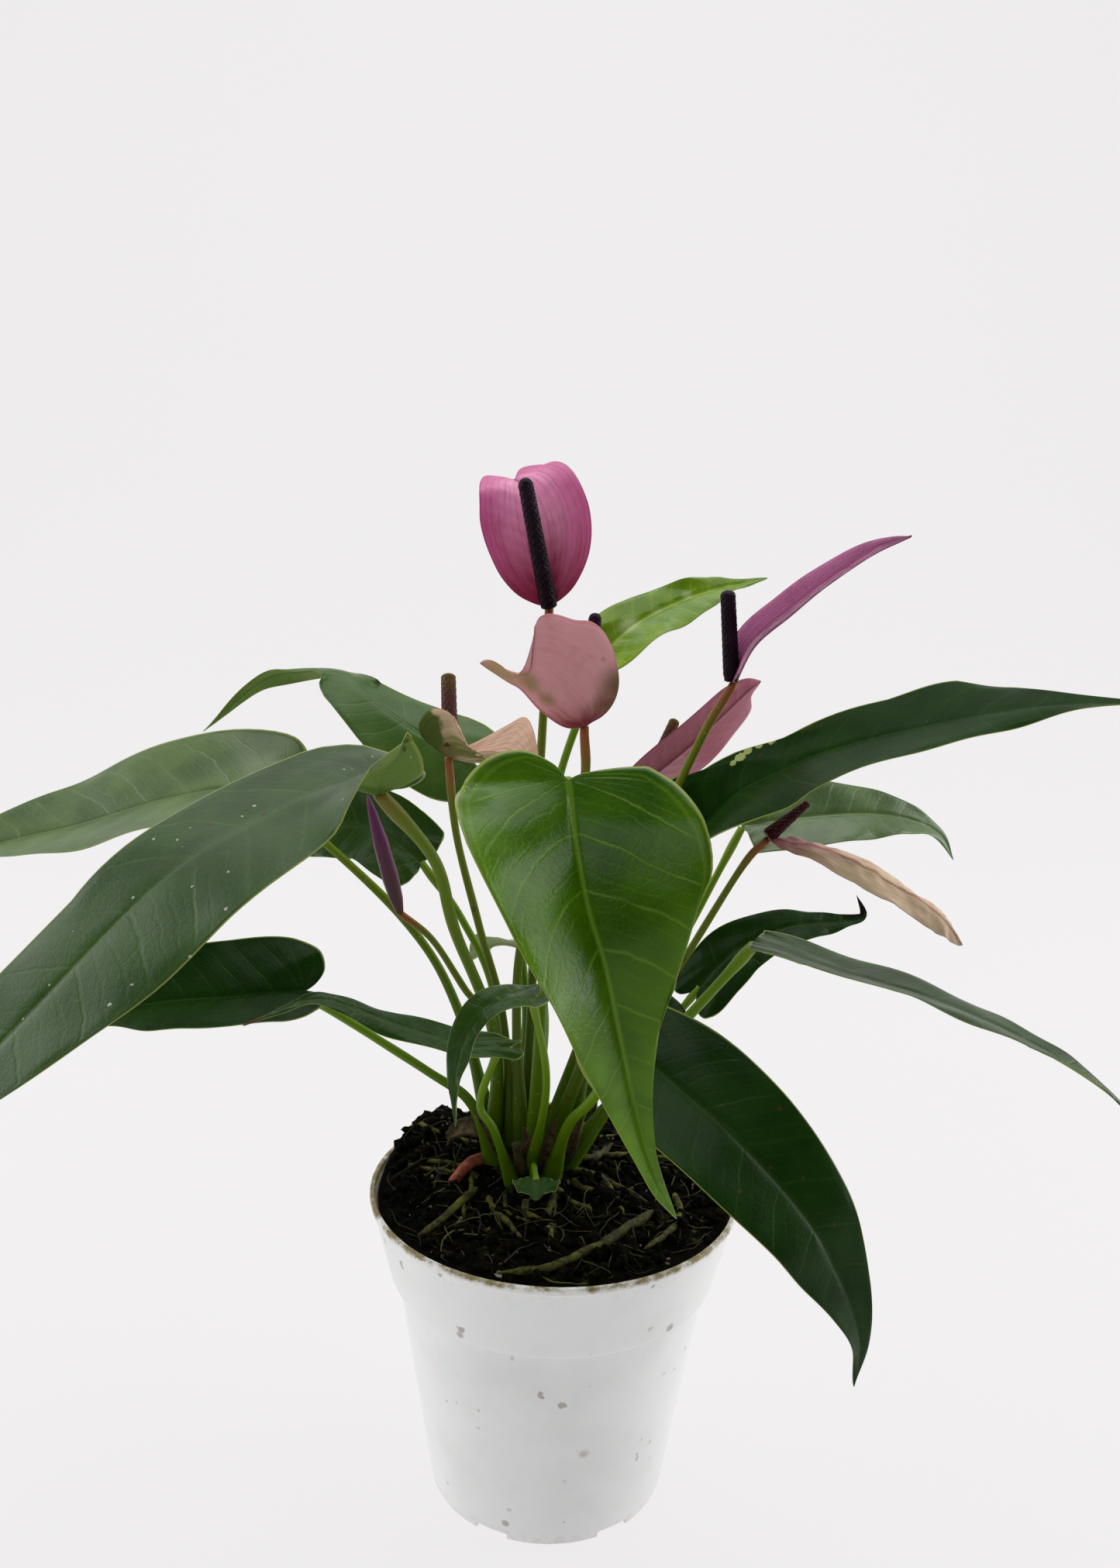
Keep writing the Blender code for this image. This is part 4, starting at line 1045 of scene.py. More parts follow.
def rounded(corners, radii, steps=5):
    """A profile with each inner corner rounded to its radius."""
    corners = np.array(corners, float)
    made = [corners[0]]
    for before, corner, after, radius in zip(corners, corners[1:], corners[2:], radii):
        start = corner + unit(before - corner) * radius
        end = corner + unit(after - corner) * radius
        for share in np.linspace(0, 1, steps):
            made.append((1 - share) ** 2 * start + 2 * share * (1 - share) * corner + share**2 * end)
    made.append(corners[-1])
    return np.array(made)


def densified(profile, gap):
    """Extra points along a profile, so that no step is longer than the gap."""
    made = [profile[0]]
    for start, end in zip(profile, profile[1:]):
        count = max(1, int(np.ceil(np.linalg.norm(end - start) / gap)))
        made.extend(start + (end - start) * step / count for step in range(1, count + 1))
    return np.array(made)


def add_pot(look):
    bottom = RIM_HEIGHT - COLLAR_HEIGHT
    neck = COLLAR_RADIUS - COLLAR_STEP
    corners = (
        (0.0, 0.9), (FOOT_RADIUS - 3.6, 0.9), (FOOT_RADIUS - 2.8, 0.0), (FOOT_RADIUS - 0.2, 0.0),
        (FOOT_RADIUS + 0.4, 3.2),
        (neck, bottom - 0.2), (COLLAR_RADIUS - 0.4, bottom), (COLLAR_RADIUS, bottom + 1.0),
        (RIM_RADIUS - 0.7, RIM_HEIGHT - 2.4), (RIM_RADIUS, RIM_HEIGHT - 2.0), (RIM_RADIUS, RIM_HEIGHT),
        (RIM_RADIUS - POT_WALL, RIM_HEIGHT), (RIM_RADIUS - POT_WALL - 0.3, RIM_HEIGHT - 2.0),
        (COLLAR_RADIUS - POT_WALL, bottom + 2.8), (neck - POT_WALL, bottom - POT_WALL),
        (FOOT_RADIUS - POT_WALL, 4.8), (FOOT_RADIUS - POT_WALL - 1.4, 3.4), (0.0, 3.4),
    )
    radii = (0.3, 0.3, 0.6, 0.8, 0.5, 0.35, 0.4, 0.25, 0.35, 0.55, 0.5, 0.5, 0.6, 0.6, 0.6, 0.5)
    profile = densified(rounded(corners, radii), 3.0)
    pot = turned("pot_shell", profile, 192, [look])
    cutter_mesh = bpy.data.meshes.new("notch")
    bm = bmesh.new()
    for index in range(DRAIN_NOTCHES):
        heading = radians(DRAIN_FIRST_HEADING + 360.0 / DRAIN_NOTCHES * index)
        size = Matrix.Diagonal((*(value * MM for value in DRAIN_SIZE), 1.0))
        place = Matrix.Rotation(heading, 4, "Z") @ Matrix.Translation((FOOT_RADIUS * MM, 0.0, 0.0))
        made = bmesh.ops.create_cube(bm, size=1.0)["verts"]
        bmesh.ops.transform(bm, matrix=place @ size, verts=made)
    bmesh.ops.bevel(bm, geom=list(bm.edges), offset=0.7 * MM, segments=3, affect="EDGES", profile=0.5)
    bm.to_mesh(cutter_mesh)
    bm.free()
    cutter = bpy.data.objects.new("notch", cutter_mesh)
    bpy.context.scene.collection.objects.link(cutter)
    cut = pot.modifiers.new("Notches", "BOOLEAN")
    cut.operation, cut.solver, cut.object = "DIFFERENCE", "EXACT", cutter
    apply_modifiers(pot)
    bpy.data.objects.remove(cutter, do_unlink=True)
    pot.data.shade_smooth()
    pot.data.set_sharp_from_angle(angle=radians(50))
    finish_piece(pot, "pot_plastic", "pot")


def apply_modifiers(made):
    bpy.context.view_layer.update()
    graph = bpy.context.evaluated_depsgraph_get()
    mesh = bpy.data.meshes.new_from_object(made.evaluated_get(graph))
    made.modifiers.clear()
    made.data = mesh


def soil_surface(x, y, rough=1.0):
    """The soil's height with its lumps."""
    points = np.stack([x, y, np.zeros_like(x)], axis=-1)
    lumps = 1.7 * roughness(points, 9.0, 3) + 1.3 * roughness(points, 3.6, 5)
    lumps = lumps + 0.45 * roughness(points, 1.5, 8)
    edge = smoothstep(np.hypot(x, y), RIM_RADIUS - 9.0, RIM_RADIUS - 3.0)
    return soil_height(x, y) + lumps * rough * (1 - 0.5 * edge)


def inside_radius(height):
    """The pot's inside radius at a height above its collar's step."""
    share = (height - (RIM_HEIGHT - COLLAR_HEIGHT)) / COLLAR_HEIGHT
    return mix(COLLAR_RADIUS, RIM_RADIUS, share) - POT_WALL - 0.4


def add_soil(look):
    rings, sectors = 96, 200
    edge = inside_radius(RIM_HEIGHT - SOIL_EDGE_DROP) - 0.2
    radius = np.linspace(0.004, 1, rings)[:, None] * edge
    turns = np.linspace(0, tau, sectors, endpoint=False)[None, :]
    x, y = radius * np.cos(turns), radius * np.sin(turns)
    top = np.stack([x, y, soil_surface(x, y)], axis=-1)
    skirt = []
    for height, wide in ((RIM_HEIGHT - 12.0, None), (RIM_HEIGHT - COLLAR_HEIGHT + 3.0, None),
                         (RIM_HEIGHT - COLLAR_HEIGHT - 2.0, COLLAR_RADIUS - COLLAR_STEP - 2.2),
                         (5.6, FOOT_RADIUS - 2.2), (4.0, FOOT_RADIUS - 4.0)):
        wide = wide or inside_radius(height)
        ring = np.stack([wide * np.cos(turns[0]), wide * np.sin(turns[0]), np.full(sectors, height)], axis=-1)
        skirt.append(ring)
    points = np.vstack([top.reshape(-1, 3), *skirt])
    count = rings + len(skirt)
    faces = grid_faces(count, sectors, closed=True)
    faces = [face[::-1] for face in faces]
    points = np.vstack([points, (0, 0, float(top[0, :, 2].mean())), (0, 0, 4.0)])
    low, high, last = len(points) - 1, len(points) - 2, (count - 1) * sectors
    for index in range(sectors):
        beside = (index + 1) % sectors
        faces.append([high, index, beside])
        faces.append([low, last + beside, last + index])
    made = make_mesh("soil_bed", points, faces, {}, [look])
    finish_piece(made, "soil", "soil")


def lump(centre, size, seed, detail=2):
    """A rough little clod."""
    bm = bmesh.new()
    bmesh.ops.create_icosphere(bm, subdivisions=detail, radius=1.0)
    points = np.array([vert.co for vert in bm.verts])
    faces = [[vert.index for vert in face.verts] for face in bm.faces]
    bm.free()
    wander = 1 + 0.45 * roughness(points, 0.9, seed) + 0.2 * roughness(points, 0.4, seed + 1)
    return points * wander[:, None] * np.array(size) + centre, faces, np.zeros((len(points), 2))


def random_turn(draw):
    axis = unit(draw.normal(size=3))
    return np.array(Matrix.Rotation(draw.uniform(0, tau), 3, Vector(axis)))


def add_crumbs(look, pale_look):
    """Loose clods, chips and grains scattered over the soil, thicker on the bank."""
    draw = np.random.default_rng(11)
    for piece, count, low, high, used in (("soil_crumbs", 1500, 0.6, 2.4, look),
                                          ("soil_grains", 90, 0.35, 0.8, pale_look)):
        shapes = []
        for index in range(count):
            reach = (RIM_RADIUS - 4.2) * np.sqrt(draw.uniform(0.0, 1.0))
            turn = draw.uniform(0, tau)
            if draw.uniform() < 0.14:
                x, y = np.array(BANK_PLACE) + draw.normal(scale=8.5, size=2)
                reach, turn = hypot(x, y), atan2(y, x)
                reach = min(reach, RIM_RADIUS - 4.2)
            x, y = reach * cos(turn), reach * sin(turn)
            size = low + (high - low) * draw.uniform() ** 2.2
            height = float(soil_surface(np.array([x]), np.array([y]))[0])
            shape, faces, coords = lump((0, 0, 0), size * draw.uniform(0.5, 1.3, 3), index * 3, 1)
            shape = shape @ random_turn(draw).T + (x, y, height + 0.15 * size)
            shapes.append((shape, faces, coords))
        points, faces, coords = join_shapes(shapes)
        points = inside_pot(points)
        made = make_mesh(piece, points, faces, {}, [used])
        finish_piece(made, "soil")


def inside_pot(points):
    """Points drawn in so that none passes through the pot's wall."""
    reach = np.hypot(points[:, 0], points[:, 1])
    limit = inside_radius(np.clip(points[:, 2], RIM_HEIGHT - COLLAR_HEIGHT, RIM_HEIGHT)) - 0.15
    share = np.minimum(1.0, limit / np.maximum(reach, 1e-6))[:, None]
    return np.hstack([points[:, :2] * share, points[:, 2:]])


def ground_route(places, count, lift, wobble, seed):
    """A line over the soil through (x, y) places."""
    flat = smooth_curve(places, count)
    here = np.column_stack([flat, np.zeros(count)])
    x = flat[:, 0] + wobble * roughness(here, 6.0, seed)
    y = flat[:, 1] + wobble * roughness(here, 6.0, seed + 4)
    return np.column_stack([x, y, soil_height(x, y) + lift + 0.4 * wobble * roughness(here, 5.0, seed + 8)])


def add_roots(look):
    for name, row in ROOTS.items():
        wide = max(row["thick"])
        route = ground_route(row["route"], 70, wide / 2 + 0.1, 0.5, seed_of(name))
        radii = np.linspace(*row["thick"], 70) / 2
        bumps = 0.12 * roughness(route, 2.5, 3) + 0.10 * roughness(route, 7.0, 6)
        taper = np.minimum(1, np.sin(np.linspace(0.10, pi - 0.25, 70)) * 2.2)
        points, faces, coords = tube(route, radii * (1 + bumps) * taper, 16)
        points = points + 0.12 * roughness(points, 1.2, 9)[:, None]
        shape = (inside_pot(points), faces, coords)
        add_piece(f"surface_root_{name}", shape, look, "root", f"root_{name}")


SIDE_ROOTS = 26


def add_side_roots(look):
    """Knobbly mossy roots that wind out from the crown towards the rim."""
    draw = np.random.default_rng(31)
    shapes = []
    for index in range(SIDE_ROOTS):
        heading = tau * (index + draw.uniform(-0.4, 0.4)) / SIDE_ROOTS
        reach = draw.uniform(10, 22)
        here = np.array(CROWN_PLACE) + reach * np.array([cos(heading), sin(heading)])
        places = [here]
        for _ in range(3):
            heading += draw.normal(scale=0.55)
            places.append(places[-1] + draw.uniform(5, 9) * np.array([cos(heading), sin(heading)]))
        places = [place * min(1.0, (RIM_RADIUS - 5.5) / max(hypot(*place), 1e-6)) for place in places]
        wide = draw.uniform(1.2, 2.7)
        route = ground_route(places, 36, wide * 0.25, 0.8, index)
        radii = wide / 2 * np.linspace(1.0, 0.55, 36) * (1 + 0.25 * roughness(route, 2.2, index))
        route[0, 2] -= wide
        route[-1, 2] -= wide
        points, faces, coords = tube(route, radii, 10)
        shapes.append((points + 0.15 * roughness(points, 1.1, index)[:, None], faces, coords))
    points, faces, coords = join_shapes(shapes)
    add_piece("side_roots", (inside_pot(points), faces, coords), look, "root")


def add_fibres(look, moss_look):
    """Fine roots and strands of moss that run over the soil."""
    draw = np.random.default_rng(5)
    for piece, count, wide, used in (("root_fibres", 110, (0.16, 0.40), look),
                                     ("moss_strands", 60, (0.12, 0.34), moss_look)):
        shapes = []
        for _ in range(count):
            reach = (RIM_RADIUS - 6) * np.sqrt(draw.uniform(0.02, 1.0))
            turn = draw.uniform(0, tau)
            start = np.array([reach * cos(turn), reach * sin(turn)])
            heading = draw.uniform(0, tau)
            step = draw.uniform(3.0, 8.0)
            places = [start]
            for _ in range(3):
                heading += draw.normal(scale=0.55)
                places.append(places[-1] + step * np.array([cos(heading), sin(heading)]))
            places = [place * min(1.0, (RIM_RADIUS - 4.6) / max(hypot(*place), 1e-6)) for place in places]
            flat = smooth_curve(places, 14)
            arch = np.sin(np.linspace(0, pi, 14)) * draw.uniform(0.2, 2.0)
            height = soil_surface(flat[:, 0], flat[:, 1], 0.7) + arch + 0.1
            radius = draw.uniform(*wide) * np.linspace(1.0, 0.35, 14)
            shapes.append(tube(np.column_stack([flat, height]), radius, 6))
        points, faces, coords = join_shapes(shapes)
        add_piece(piece, (inside_pot(points), faces, coords), used, "root")


def add_crown(look):
    """The short, knobbly rootstock that every stalk leaves."""
    draw = np.random.default_rng(23)
    x0, y0 = CROWN_PLACE
    base = float(soil_height(x0, y0))
    shapes = [lump((x0, y0, base - 1.0), (CROWN_RADIUS * 0.86, CROWN_RADIUS * 0.86, CROWN_HEIGHT), 2, 5)]
    for index in range(26):
        heading, reach = draw.uniform(0, tau), CROWN_RADIUS * draw.uniform(0.3, 0.9)
        x, y = x0 + reach * cos(heading), y0 + reach * sin(heading)
        size = draw.uniform(1.4, 3.2, 3)
        shapes.append(lump((x, y, crown_height(x, y) - 0.8), size, index, 3))
    points, faces, coords = join_shapes(shapes)
    points = points + 0.25 * roughness(points, 1.4, 4)[:, None]
    add_piece("rootstock", (points, faces, coords), look, "rootstock", "crown")


def strip(spine, widths, face, curl, seed, rows=36, columns=13):
    """A curled papery strip: points and faces of both its sides."""
    path = smooth_curve(spine, rows)
    ahead = unit(np.gradient(path, axis=0))
    up = unit(np.array(face, float) - (ahead @ np.array(face, float))[:, None] * ahead)
    right = np.cross(ahead, up)
    share = np.linspace(0, 1, rows)
    wide = np.interp(share, np.linspace(0, 1, len(widths)), widths) / 2
    across = np.linspace(-1, 1, columns)
    bend = across[None, :] * curl
    out = np.sin(bend) / max(abs(curl), 1e-3) * wide[:, None]
    rise = (1 - np.cos(bend)) / max(abs(curl), 1e-3) * wide[:, None]
    points = path[:, None] + right[:, None] * out[..., None] + up[:, None] * rise[..., None]
    creases = 0.35 * roughness(points, 2.6, seed) + 0.2 * roughness(points, 1.1, seed + 2)
    points = points + up[:, None] * creases[..., None]
    return sheet_shape(points, 0.16)


def sheet_shape(points, thick):
    """A closed thin sheet from a grid of points."""
    rows, columns = points.shape[:2]
    normal = grid_normal(points)
    sides = (points + normal * thick / 2, points - normal * thick / 2)
    flat = np.vstack([side.reshape(-1, 3) for side in sides])
    faces = sheet_faces(rows, columns)
    steps = np.meshgrid(np.linspace(0, 1, rows), np.linspace(0, 1, columns), indexing="ij")
    coords = np.stack(steps[::-1], -1)
    return flat, faces, np.vstack([coords.reshape(-1, 2)] * 2)


DRY = (
    dict(spine=((-9, -3, 9), (-8, -6, 15), (-8, -8, 20), (-9, -9, 24)), widths=(5, 6, 4.5, 0.8),
         face=(0, -1, 0.1), curl=1.3),
    dict(spine=((-14, 0, 10), (-17, -3, 16), (-20, -5, 22), (-23, -6, 27)), widths=(4, 3.5, 2, 0.6),
         face=(-0.4, -1, 0.2), curl=1.1),
    dict(spine=((-3, -4, 10), (-2, -7, 19), (0, -9, 27)), widths=(5, 5, 1.0),
         face=(0.1, -1, 0.1), curl=1.4),
    dict(spine=((2, 0, 10), (5, -3, 20), (8, -4, 30)), widths=(4.5, 4, 0.8),
         face=(0.5, -1, 0.1), curl=1.2),
    dict(spine=((-17, 6, 9), (-21, 5, 17), (-24, 4, 24)), widths=(5, 4.5, 1.0),
         face=(-1, -0.5, 0.3), curl=1.2),
    dict(spine=((-6, 18, 9), (-6, 21, 20), (-7, 22, 30)), widths=(5, 4.5, 1.0),
         face=(0, 1, 0.2), curl=1.2),
    dict(spine=((6, 12, 9), (10, 14, 17), (12, 15, 25)), widths=(5, 4, 1.0), face=(1, 0.4, 0.2), curl=1.3),
)
FLAP = dict(spine=((-31, 9, 9), (-28, 7, 13), (-23, 5, 15), (-18, 4, 12)), widths=(4, 9, 9, 3),
            face=(0.1, -0.5, 1), curl=1.5)
STUBS = (
    dict(route=((-9, -4, 6), (-10, -6, 11), (-11, -7, 16)), thick=(3.4, 2.8)),
    dict(route=((3, 2, 6), (5, 0, 12), (6, -1, 17)), thick=(3.2, 2.4)),
)
SALMON = (
    dict(route=((-29, -4, 1.5), (-27, -2, 3.5), (-24, 1, 5.5), (-21, 4, 5.0)), thick=(3.0, 3.6)),
)


def add_remains(look):
    """Dry sheaths round the crown and a curled flap."""
    shapes = []
    for index, row in enumerate((*DRY, FLAP)):
        spine = above_rim(np.array(row["spine"]) - (0, 0, 2))
        shapes.append(strip(spine, row["widths"], row["face"], row["curl"], index * 5 + 2))
    add_piece("dry_sheaths", join_shapes(shapes), look, "rootstock")


def add_stubs(piece, rows, look):
    shapes = []
    for index, row in enumerate(rows):
        route = smooth_curve(above_rim(row["route"]), 30)
        radii = np.linspace(*row["thick"], 30) / 2
        points, faces, coords = tube(route, radii, 16)
        points = points + 0.14 * roughness(points, 1.5, index)[:, None]
        shapes.append((points, faces, coords))
    add_piece(piece, join_shapes(shapes), look, "rootstock")


# ---------------------------------------------------------------- the plant

# Marks: a place in millimetres, the radius that is fully marked, and the width of its soft edge.
POT_MARKS = (((9.5, -36.5, 33.0), 1.0, 1.6), ((-24.0, -41.0, 70.0), 0.6, 0.9),
             ((32.0, -35.0, 70.0), 0.8, 0.9), ((-14.0, -44.0, 57.0), 1.0, 1.0), ((-11.0, -34.0, 6.0), 0.7, 0.9))
SCAR_TINT = (0.30, 0.35, 0.12)
SCARS = [((44.2, 1.0, 217.0), 0.2, 1.6), ((46.1, 1.7, 218.5), 0.9, 1.5),
         ((48.2, 2.3, 220.1), 0.6, 1.5), ((51.0, 2.2, 221.8), 0.5, 1.3), ((54.3, 1.0, 223.2), 0.4, 1.3)]

# Painted sheen on leaf back_right: pale patches painted into its colour in place of a reflection.
PAINTED_SHEEN = [(place, radius, soft, (0.46, 0.58, 0.26))
         for place, radius, soft in (
             ((17.0, 36.0, 247.0), 0.6, 4.5), ((25.0, 39.0, 251.0), 0.4, 3.0),
             ((20.0, 37.0, 242.0), 0.3, 2.6), ((33.0, 42.0, 256.0), 0.3, 2.6))]

LEAF_DEFAULTS = dict(quilt=0.16, vein_relief=0.12, rib=(1.5, 0.15), groove=0.18, waves=(3.0, 0.7),
                     swell=0.7, thick=0.55, crumple=0.0)
SPATHE_DEFAULTS = dict(quilt=0.12, vein_relief=0.10, rib=(0.8, 0.1), groove=0.2, waves=(2.0, 0.35),
                       swell=0.5, thick=0.6, crumple=0.0)

LEAF_KINDS = {
    # bright: its glow colour is painted light, lighter towards the tip and the right-hand half.
    "bright": dict(base=(0.013, 0.054, 0.0002), light=(0.038, 0.110, 0.0006), vein=(0.15, 0.28, 0.02),
                   under=(0.20, 0.32, 0.05), painted_glow=(0.110, 0.235, 0.001), shine=0.15, gloss=0.16,
                   vein_show=0.4),
    "dark": dict(base=(0.0035, 0.020, 0.0010), light=(0.009, 0.036, 0.002), vein=(0.030, 0.070, 0.010),
                 under=(0.10, 0.17, 0.04), shine=0.09, vein_show=0.14),
    "mid": dict(base=(0.011, 0.042, 0.003), light=(0.026, 0.072, 0.005), vein=(0.055, 0.110, 0.016),
                under=(0.13, 0.21, 0.04), shine=0.22, vein_show=0.2),
    "pale": dict(base=(0.030, 0.072, 0.010), light=(0.070, 0.130, 0.026), vein=(0.12, 0.18, 0.05),
                 under=(0.20, 0.27, 0.08), shine=0.35, vein_show=0.25),
    "lime": dict(base=(0.070, 0.170, 0.0015), light=(0.200, 0.330, 0.006), vein=(0.28, 0.40, 0.05),
                 under=(0.24, 0.34, 0.05), shine=0.22, gloss=0.16, vein_show=0.3),
}
LEAF_LOOKS = {
    "front": ("bright", dict()),
    "left": ("mid", dict(base=(0.010, 0.040, 0.001), light=(0.024, 0.070, 0.003), speckled=0.03, shine=0.24)),
    "left_back": ("pale", dict(base=(0.036, 0.080, 0.014), light=(0.090, 0.150, 0.036))),
    "left_low": ("dark", dict()),
    "left_small": ("mid", dict()),
    "back_left": ("mid", dict(base=(0.028, 0.075, 0.007), light=(0.055, 0.120, 0.016))),
    "inner_left": ("mid", dict(shine=0.18)),
    "back_right": ("lime", dict()),
    "right": ("dark", dict(shine=0.03, scars=SCARS)),
    "right_back": ("pale", dict(shine=0.45)),
    "right_mid": ("dark", dict()),
    "right_low": ("mid", dict(shine=0.28)),
    "drooping": ("dark", dict()),
    "centre_small": ("mid", dict()),
    "right_hidden": ("dark", dict()),
    "seedling": ("mid", dict()),
    "back": ("pale", dict()),
}


def tip_mark(name, radius, soft, tint):
    """A blemish at a leaf's tip."""
    place = tuple(above_rim(LEAVES[name]["spine"][-1]))
    return (place, radius, soft, tint)


def add_leaves():
    marks = {
        "right_mid": [tip_mark("right_mid", 6.0, 2.5, (0.012, 0.008, 0.004))],
        "left_small": [tip_mark("left_small", 3.5, 4.0, (0.09, 0.04, 0.012))],
        # painted sheen on back_right
        "back_right": PAINTED_SHEEN,
    }
    petiole = stalk_look("Petiole", (0.060, 0.122, 0.001), (0.120, 0.225, 0.005), (0.17, 0.25, 0.02))
    brown_petiole = stalk_look("Brown petiole", (0.060, 0.120, 0.001), (0.110, 0.175, 0.005),
                               (0.18, 0.13, 0.02))
    for name, row in LEAVES.items():
        kind, extra = LEAF_LOOKS[name]
        looks = leaf_looks(f"Leaf {name}", marks=marks.get(name, ()), **{**LEAF_KINDS[kind], **extra})
        blade = Blade(name, {**LEAF_DEFAULTS, **row}, LEAF_OUTLINE)
        add_blade(f"blade_{name}", f"leaf_{name}", blade, looks, "front_leaf" if name == "front" else "leaf")
        end = blade.path[0] - blade.up[0] * row["stalk"][1] * 0.30
        add_stalk(f"stalk_{name}", f"petiole_{name}", row, end,
                  brown_petiole if name in ("left", "left_back") else petiole, "petiole", knee=0.22)


SPATHE_LOOKS = {
    "purple": dict(inside=(0.80, 0.30, 0.50), edge=(0.52, 0.065, 0.24), base=(0.25, 0.008, 0.045),
                   outside=(0.46, 0.13, 0.23), vein=(0.34, 0.020, 0.12), base_reach=33.0),
    "cup": dict(inside=(0.50, 0.22, 0.20), edge=(0.70, 0.34, 0.36), base=(0.20, 0.015, 0.025),
                outside=(0.60, 0.25, 0.27), vein=(0.40, 0.075, 0.115), base_reach=14.0, lines=0.06,
                marks=[((12.0, -17.5, 240.5), 1.0, 7.0, (0.16, 0.085, 0.035)),
                       ((9.5, -16.5, 235.0), 0.3, 6.0, (0.20, 0.075, 0.050)),
                       ((-11.0, -20.0, 239.5), 0.8, 5.0, (0.26, 0.18, 0.06)),
                       ((-6.0, -19.0, 235.5), 0.2, 4.0, (0.28, 0.16, 0.07)),
                       ((-18.0, -16.5, 242.0), 2.0, 6.0, (0.46, 0.30, 0.16))]),
    "violet": dict(inside=(0.34, 0.075, 0.200), edge=(0.40, 0.10, 0.24), base=(0.13, 0.012, 0.065),
                   outside=(0.32, 0.07, 0.18), vein=(0.18, 0.03, 0.10)),
    "rose": dict(inside=(0.34, 0.09, 0.13), edge=(0.42, 0.12, 0.18), base=(0.22, 0.05, 0.055),
                 outside=(0.36, 0.10, 0.14), vein=(0.22, 0.035, 0.065)),
    "green": dict(inside=(0.80, 0.54, 0.42), edge=(0.76, 0.52, 0.36), base=(0.52, 0.28, 0.19),
                  outside=(0.110, 0.135, 0.010), vein=(0.42, 0.22, 0.16), base_out=(0.15, 0.12, 0.02),
                  base_reach=4.0,
                  marks=[((-38.0, -8.5, 225.5), 5.0, 1.2, (0.066, 0.100, 0.006)),
                         ((-36.5, -8.5, 221.0), 4.6, 1.5, (0.066, 0.095, 0.006)),
                         ((-31.0, -10.0, 219.5), 1.6, 2.0, (0.16, 0.12, 0.03))]),
    "faded": dict(inside=(0.62, 0.44, 0.30), edge=(0.66, 0.50, 0.34), base=(0.40, 0.13, 0.17),
                  outside=(0.60, 0.42, 0.29), vein=(0.36, 0.19, 0.13), base_reach=28.0, gloss=0.50),
}


def add_flowers():
    stalks = stalk_look("Peduncle", (0.055, 0.110, 0.001), (0.110, 0.145, 0.003), (0.27, 0.060, 0.028))
    dark = spadix_look("Spadix dark", (0.006, 0.001, 0.005), (0.012, 0.003, 0.010), (0.040, 0.014, 0.036))
    brown = spadix_look("Spadix brown", (0.085, 0.030, 0.028), (0.11, 0.075, 0.012), (0.16, 0.09, 0.07))
    maroon = spadix_look("Spadix maroon", (0.030, 0.002, 0.003), (0.045, 0.004, 0.006), (0.09, 0.012, 0.018))
    spikes = {"green": brown, "faded": maroon, "rose": brown}
    for name, row in FLOWERS.items():
        blade = Blade(name, {**SPATHE_DEFAULTS, **row}, SPATHE_OUTLINE)
        looks = spathe_looks(f"Spathe {name}", blade.length, **SPATHE_LOOKS[name])
        add_blade(f"bract_{name}", f"spathe_{name}", blade, looks, f"spathe_{name}")
        end = blade.path[0] - blade.up[0] * 0.8
        add_stalk(f"flower_stalk_{name}", f"peduncle_{name}", row, end, stalks, "peduncle", knee=0.12)
        start = blade.path[0] + blade.up[0] * (0.4 + row.get("lift", 0.0))
        add_spadix(f"spike_{name}", f"spadix_{name}", row, start, spikes.get(name, dark))


def add_bud(stalk):
    """The flower bud: a spathe still rolled round its spike, with the seam that winds up it."""
    rings, sides = 80, 48
    base, tip = above_rim(BUD["base"]), above_rim(BUD["tip"])
    share = np.linspace(0, 1, rings)[:, None]
    turns = np.linspace(0, tau, sides, endpoint=False)[None, :]
    shape = np.interp(share, (0, 0.12, 0.3, 0.6, 0.85, 0.97, 1), (0.42, 0.80, 1.0, 0.92, 0.55, 0.22, 0.05))
    seam = np.angle(np.exp(1j * (turns - 2.6 * share - 0.6)))
    radius = BUD["bud"][0] / 2 * shape * (1 + 0.10 * np.clip(seam / pi, -1, 1) * (1 - share))
    radius = radius * (1 + 0.02 * np.sin(7 * turns + 3 * share))
    look = stalk_look("Bud", (0.08, 0.035, 0.04), (0.120, 0.030, 0.095), (0.17, 0.06, 0.12))
    add_piece("rolled_bud", tube(smooth_curve((base, tip), rings), radius, sides), look, "bud", "bud")
    add_stalk("flower_stalk_bud", "peduncle_bud", BUD, base, stalk, "peduncle")


# ---------------------------------------------------------------- studio

WORLD_LIGHT = 0.20
LIGHTS = (
    ("Overhead", (0.0, 0.25, 1.2), (0.0, 0.0, 0.1), (1.1, 0.9), 7.5),
    ("Left", (-0.9, 0.15, 0.45), (0.0, 0.0, 0.12), (0.5, 1.0), 4.5),
    ("Right", (0.9, 0.20, 0.45), (0.0, 0.0, 0.12), (0.5, 1.0), 6.0),
    ("Window", (-0.55, -0.9, 0.95), (0.0, 0.0, 0.18), (0.5, 0.7), 2.0),
)
CAMERA_PLACE = (-1.8, -372.0, 300.0)
CAMERA_PITCH, CAMERA_ROLL = radians(13.6), radians(1.7)
CAMERA_LENS, CAMERA_SENSOR = 32.85, 36.0


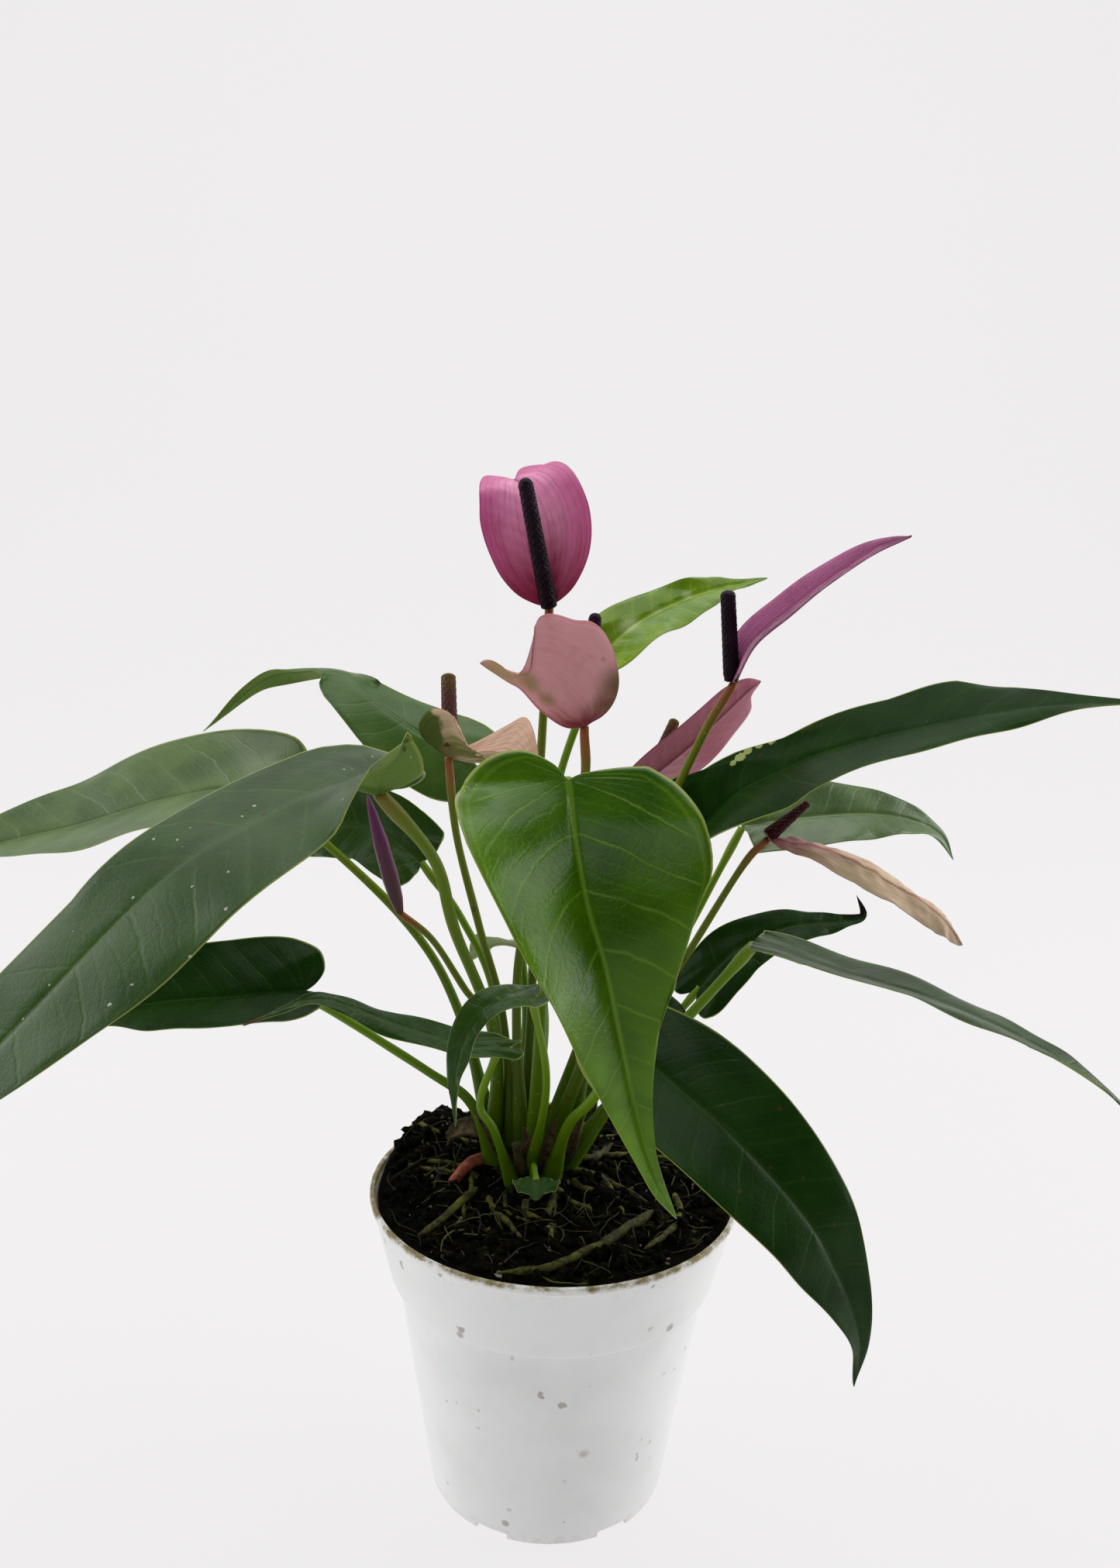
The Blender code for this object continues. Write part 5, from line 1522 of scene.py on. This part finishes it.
def add_studio():
    """A pale sweep, a soft room of light with its sides brightest, and the camera."""
    depth, corner, high, wide = 1.1, 0.55, 2.6, 3.2
    turn = [(-3.0, 0.0), (depth - corner, 0.0)]
    turn += [(depth - corner + corner * sin(a), corner - corner * cos(a))
             for a in np.linspace(0.1, pi / 2, 14)]
    turn += [(depth, high)]
    points = [(side * wide / MM, y / MM, z / MM) for y, z in turn for side in (-1, 1)]
    faces = [[2 * i, 2 * i + 1, 2 * i + 3, 2 * i + 2] for i in range(len(turn) - 1)]
    make_mesh("sweep", points, faces, {}, [ground_look("Backdrop")])
    scene = bpy.context.scene
    world = bpy.data.worlds.new("Studio")
    world.use_nodes = True
    world.node_tree.nodes["Background"].inputs["Color"].default_value = (1.0, 0.995, 1.0, 1.0)
    world.node_tree.nodes["Background"].inputs["Strength"].default_value = WORLD_LIGHT
    scene.world = world
    for name, place, aim, size, power in LIGHTS:
        data = bpy.data.lights.new(name, "AREA")
        data.shape, data.size, data.size_y, data.energy = "RECTANGLE", *size, power
        lamp = bpy.data.objects.new(name, data)
        lamp.location = place
        lamp.rotation_euler = (Vector(aim) - Vector(place)).to_track_quat("-Z", "Y").to_euler()
        scene.collection.objects.link(lamp)
    pitch, roll = CAMERA_PITCH, CAMERA_ROLL
    ahead = Vector((0, cos(pitch), -sin(pitch)))
    right = ahead.cross(Vector((0, 0, 1))).normalized()
    over = right.cross(ahead)
    level = right * cos(roll) + over * sin(roll)
    upward = over * cos(roll) - right * sin(roll)
    data = bpy.data.cameras.new("Camera")
    data.lens, data.sensor_width, data.clip_start = CAMERA_LENS, CAMERA_SENSOR, 0.01
    camera = bpy.data.objects.new("Camera", data)
    turned_to = Matrix((level, upward, -ahead)).transposed().to_4x4()
    camera.matrix_world = Matrix.Translation(Vector(CAMERA_PLACE) * MM) @ turned_to
    scene.collection.objects.link(camera)
    scene.camera = camera
    scene.view_settings.view_transform = "Standard"


def main():
    add_pot(pot_look())
    add_soil(soil_look("Soil", (0.0008, 0.0007, 0.0004), (0.006, 0.005, 0.002), 0.6))
    add_crumbs(soil_look("Clods", (0.0010, 0.0009, 0.0004), (0.012, 0.010, 0.004), 0.4),
               bark_look("Grains", (0.10, 0.085, 0.05), (0.30, 0.27, 0.20), (0.12, 0.12, 0.05)))
    mossy = bark_look("Root", (0.014, 0.014, 0.002), (0.095, 0.092, 0.016), (0.170, 0.175, 0.018))
    add_roots(mossy)
    add_side_roots(mossy)
    add_fibres(bark_look("Fibre", (0.008, 0.007, 0.003), (0.04, 0.034, 0.014), (0.07, 0.075, 0.012), 1.2),
               bark_look("Moss", (0.045, 0.050, 0.010), (0.10, 0.11, 0.03), (0.14, 0.13, 0.05), 1.0))
    add_crown(bark_look("Rootstock", (0.006, 0.005, 0.0025), (0.030, 0.025, 0.010), (0.045, 0.050, 0.012)))
    add_remains(bark_look("Dry sheath", (0.030, 0.019, 0.007), (0.13, 0.095, 0.045),
                          (0.075, 0.055, 0.02), 1.5))
    add_stubs("old_stubs", STUBS, bark_look("Stub", (0.018, 0.017, 0.006), (0.07, 0.065, 0.022),
                                            (0.12, 0.06, 0.03), 1.5))
    add_stubs("pink_root", SALMON, bark_look("Pink root", (0.20, 0.045, 0.03), (0.42, 0.12, 0.075),
                                             (0.15, 0.04, 0.025), 2.5, 0.45))
    add_leaves()
    add_flowers()
    add_bud(bpy.data.materials["Peduncle"])
    add_studio()


main()
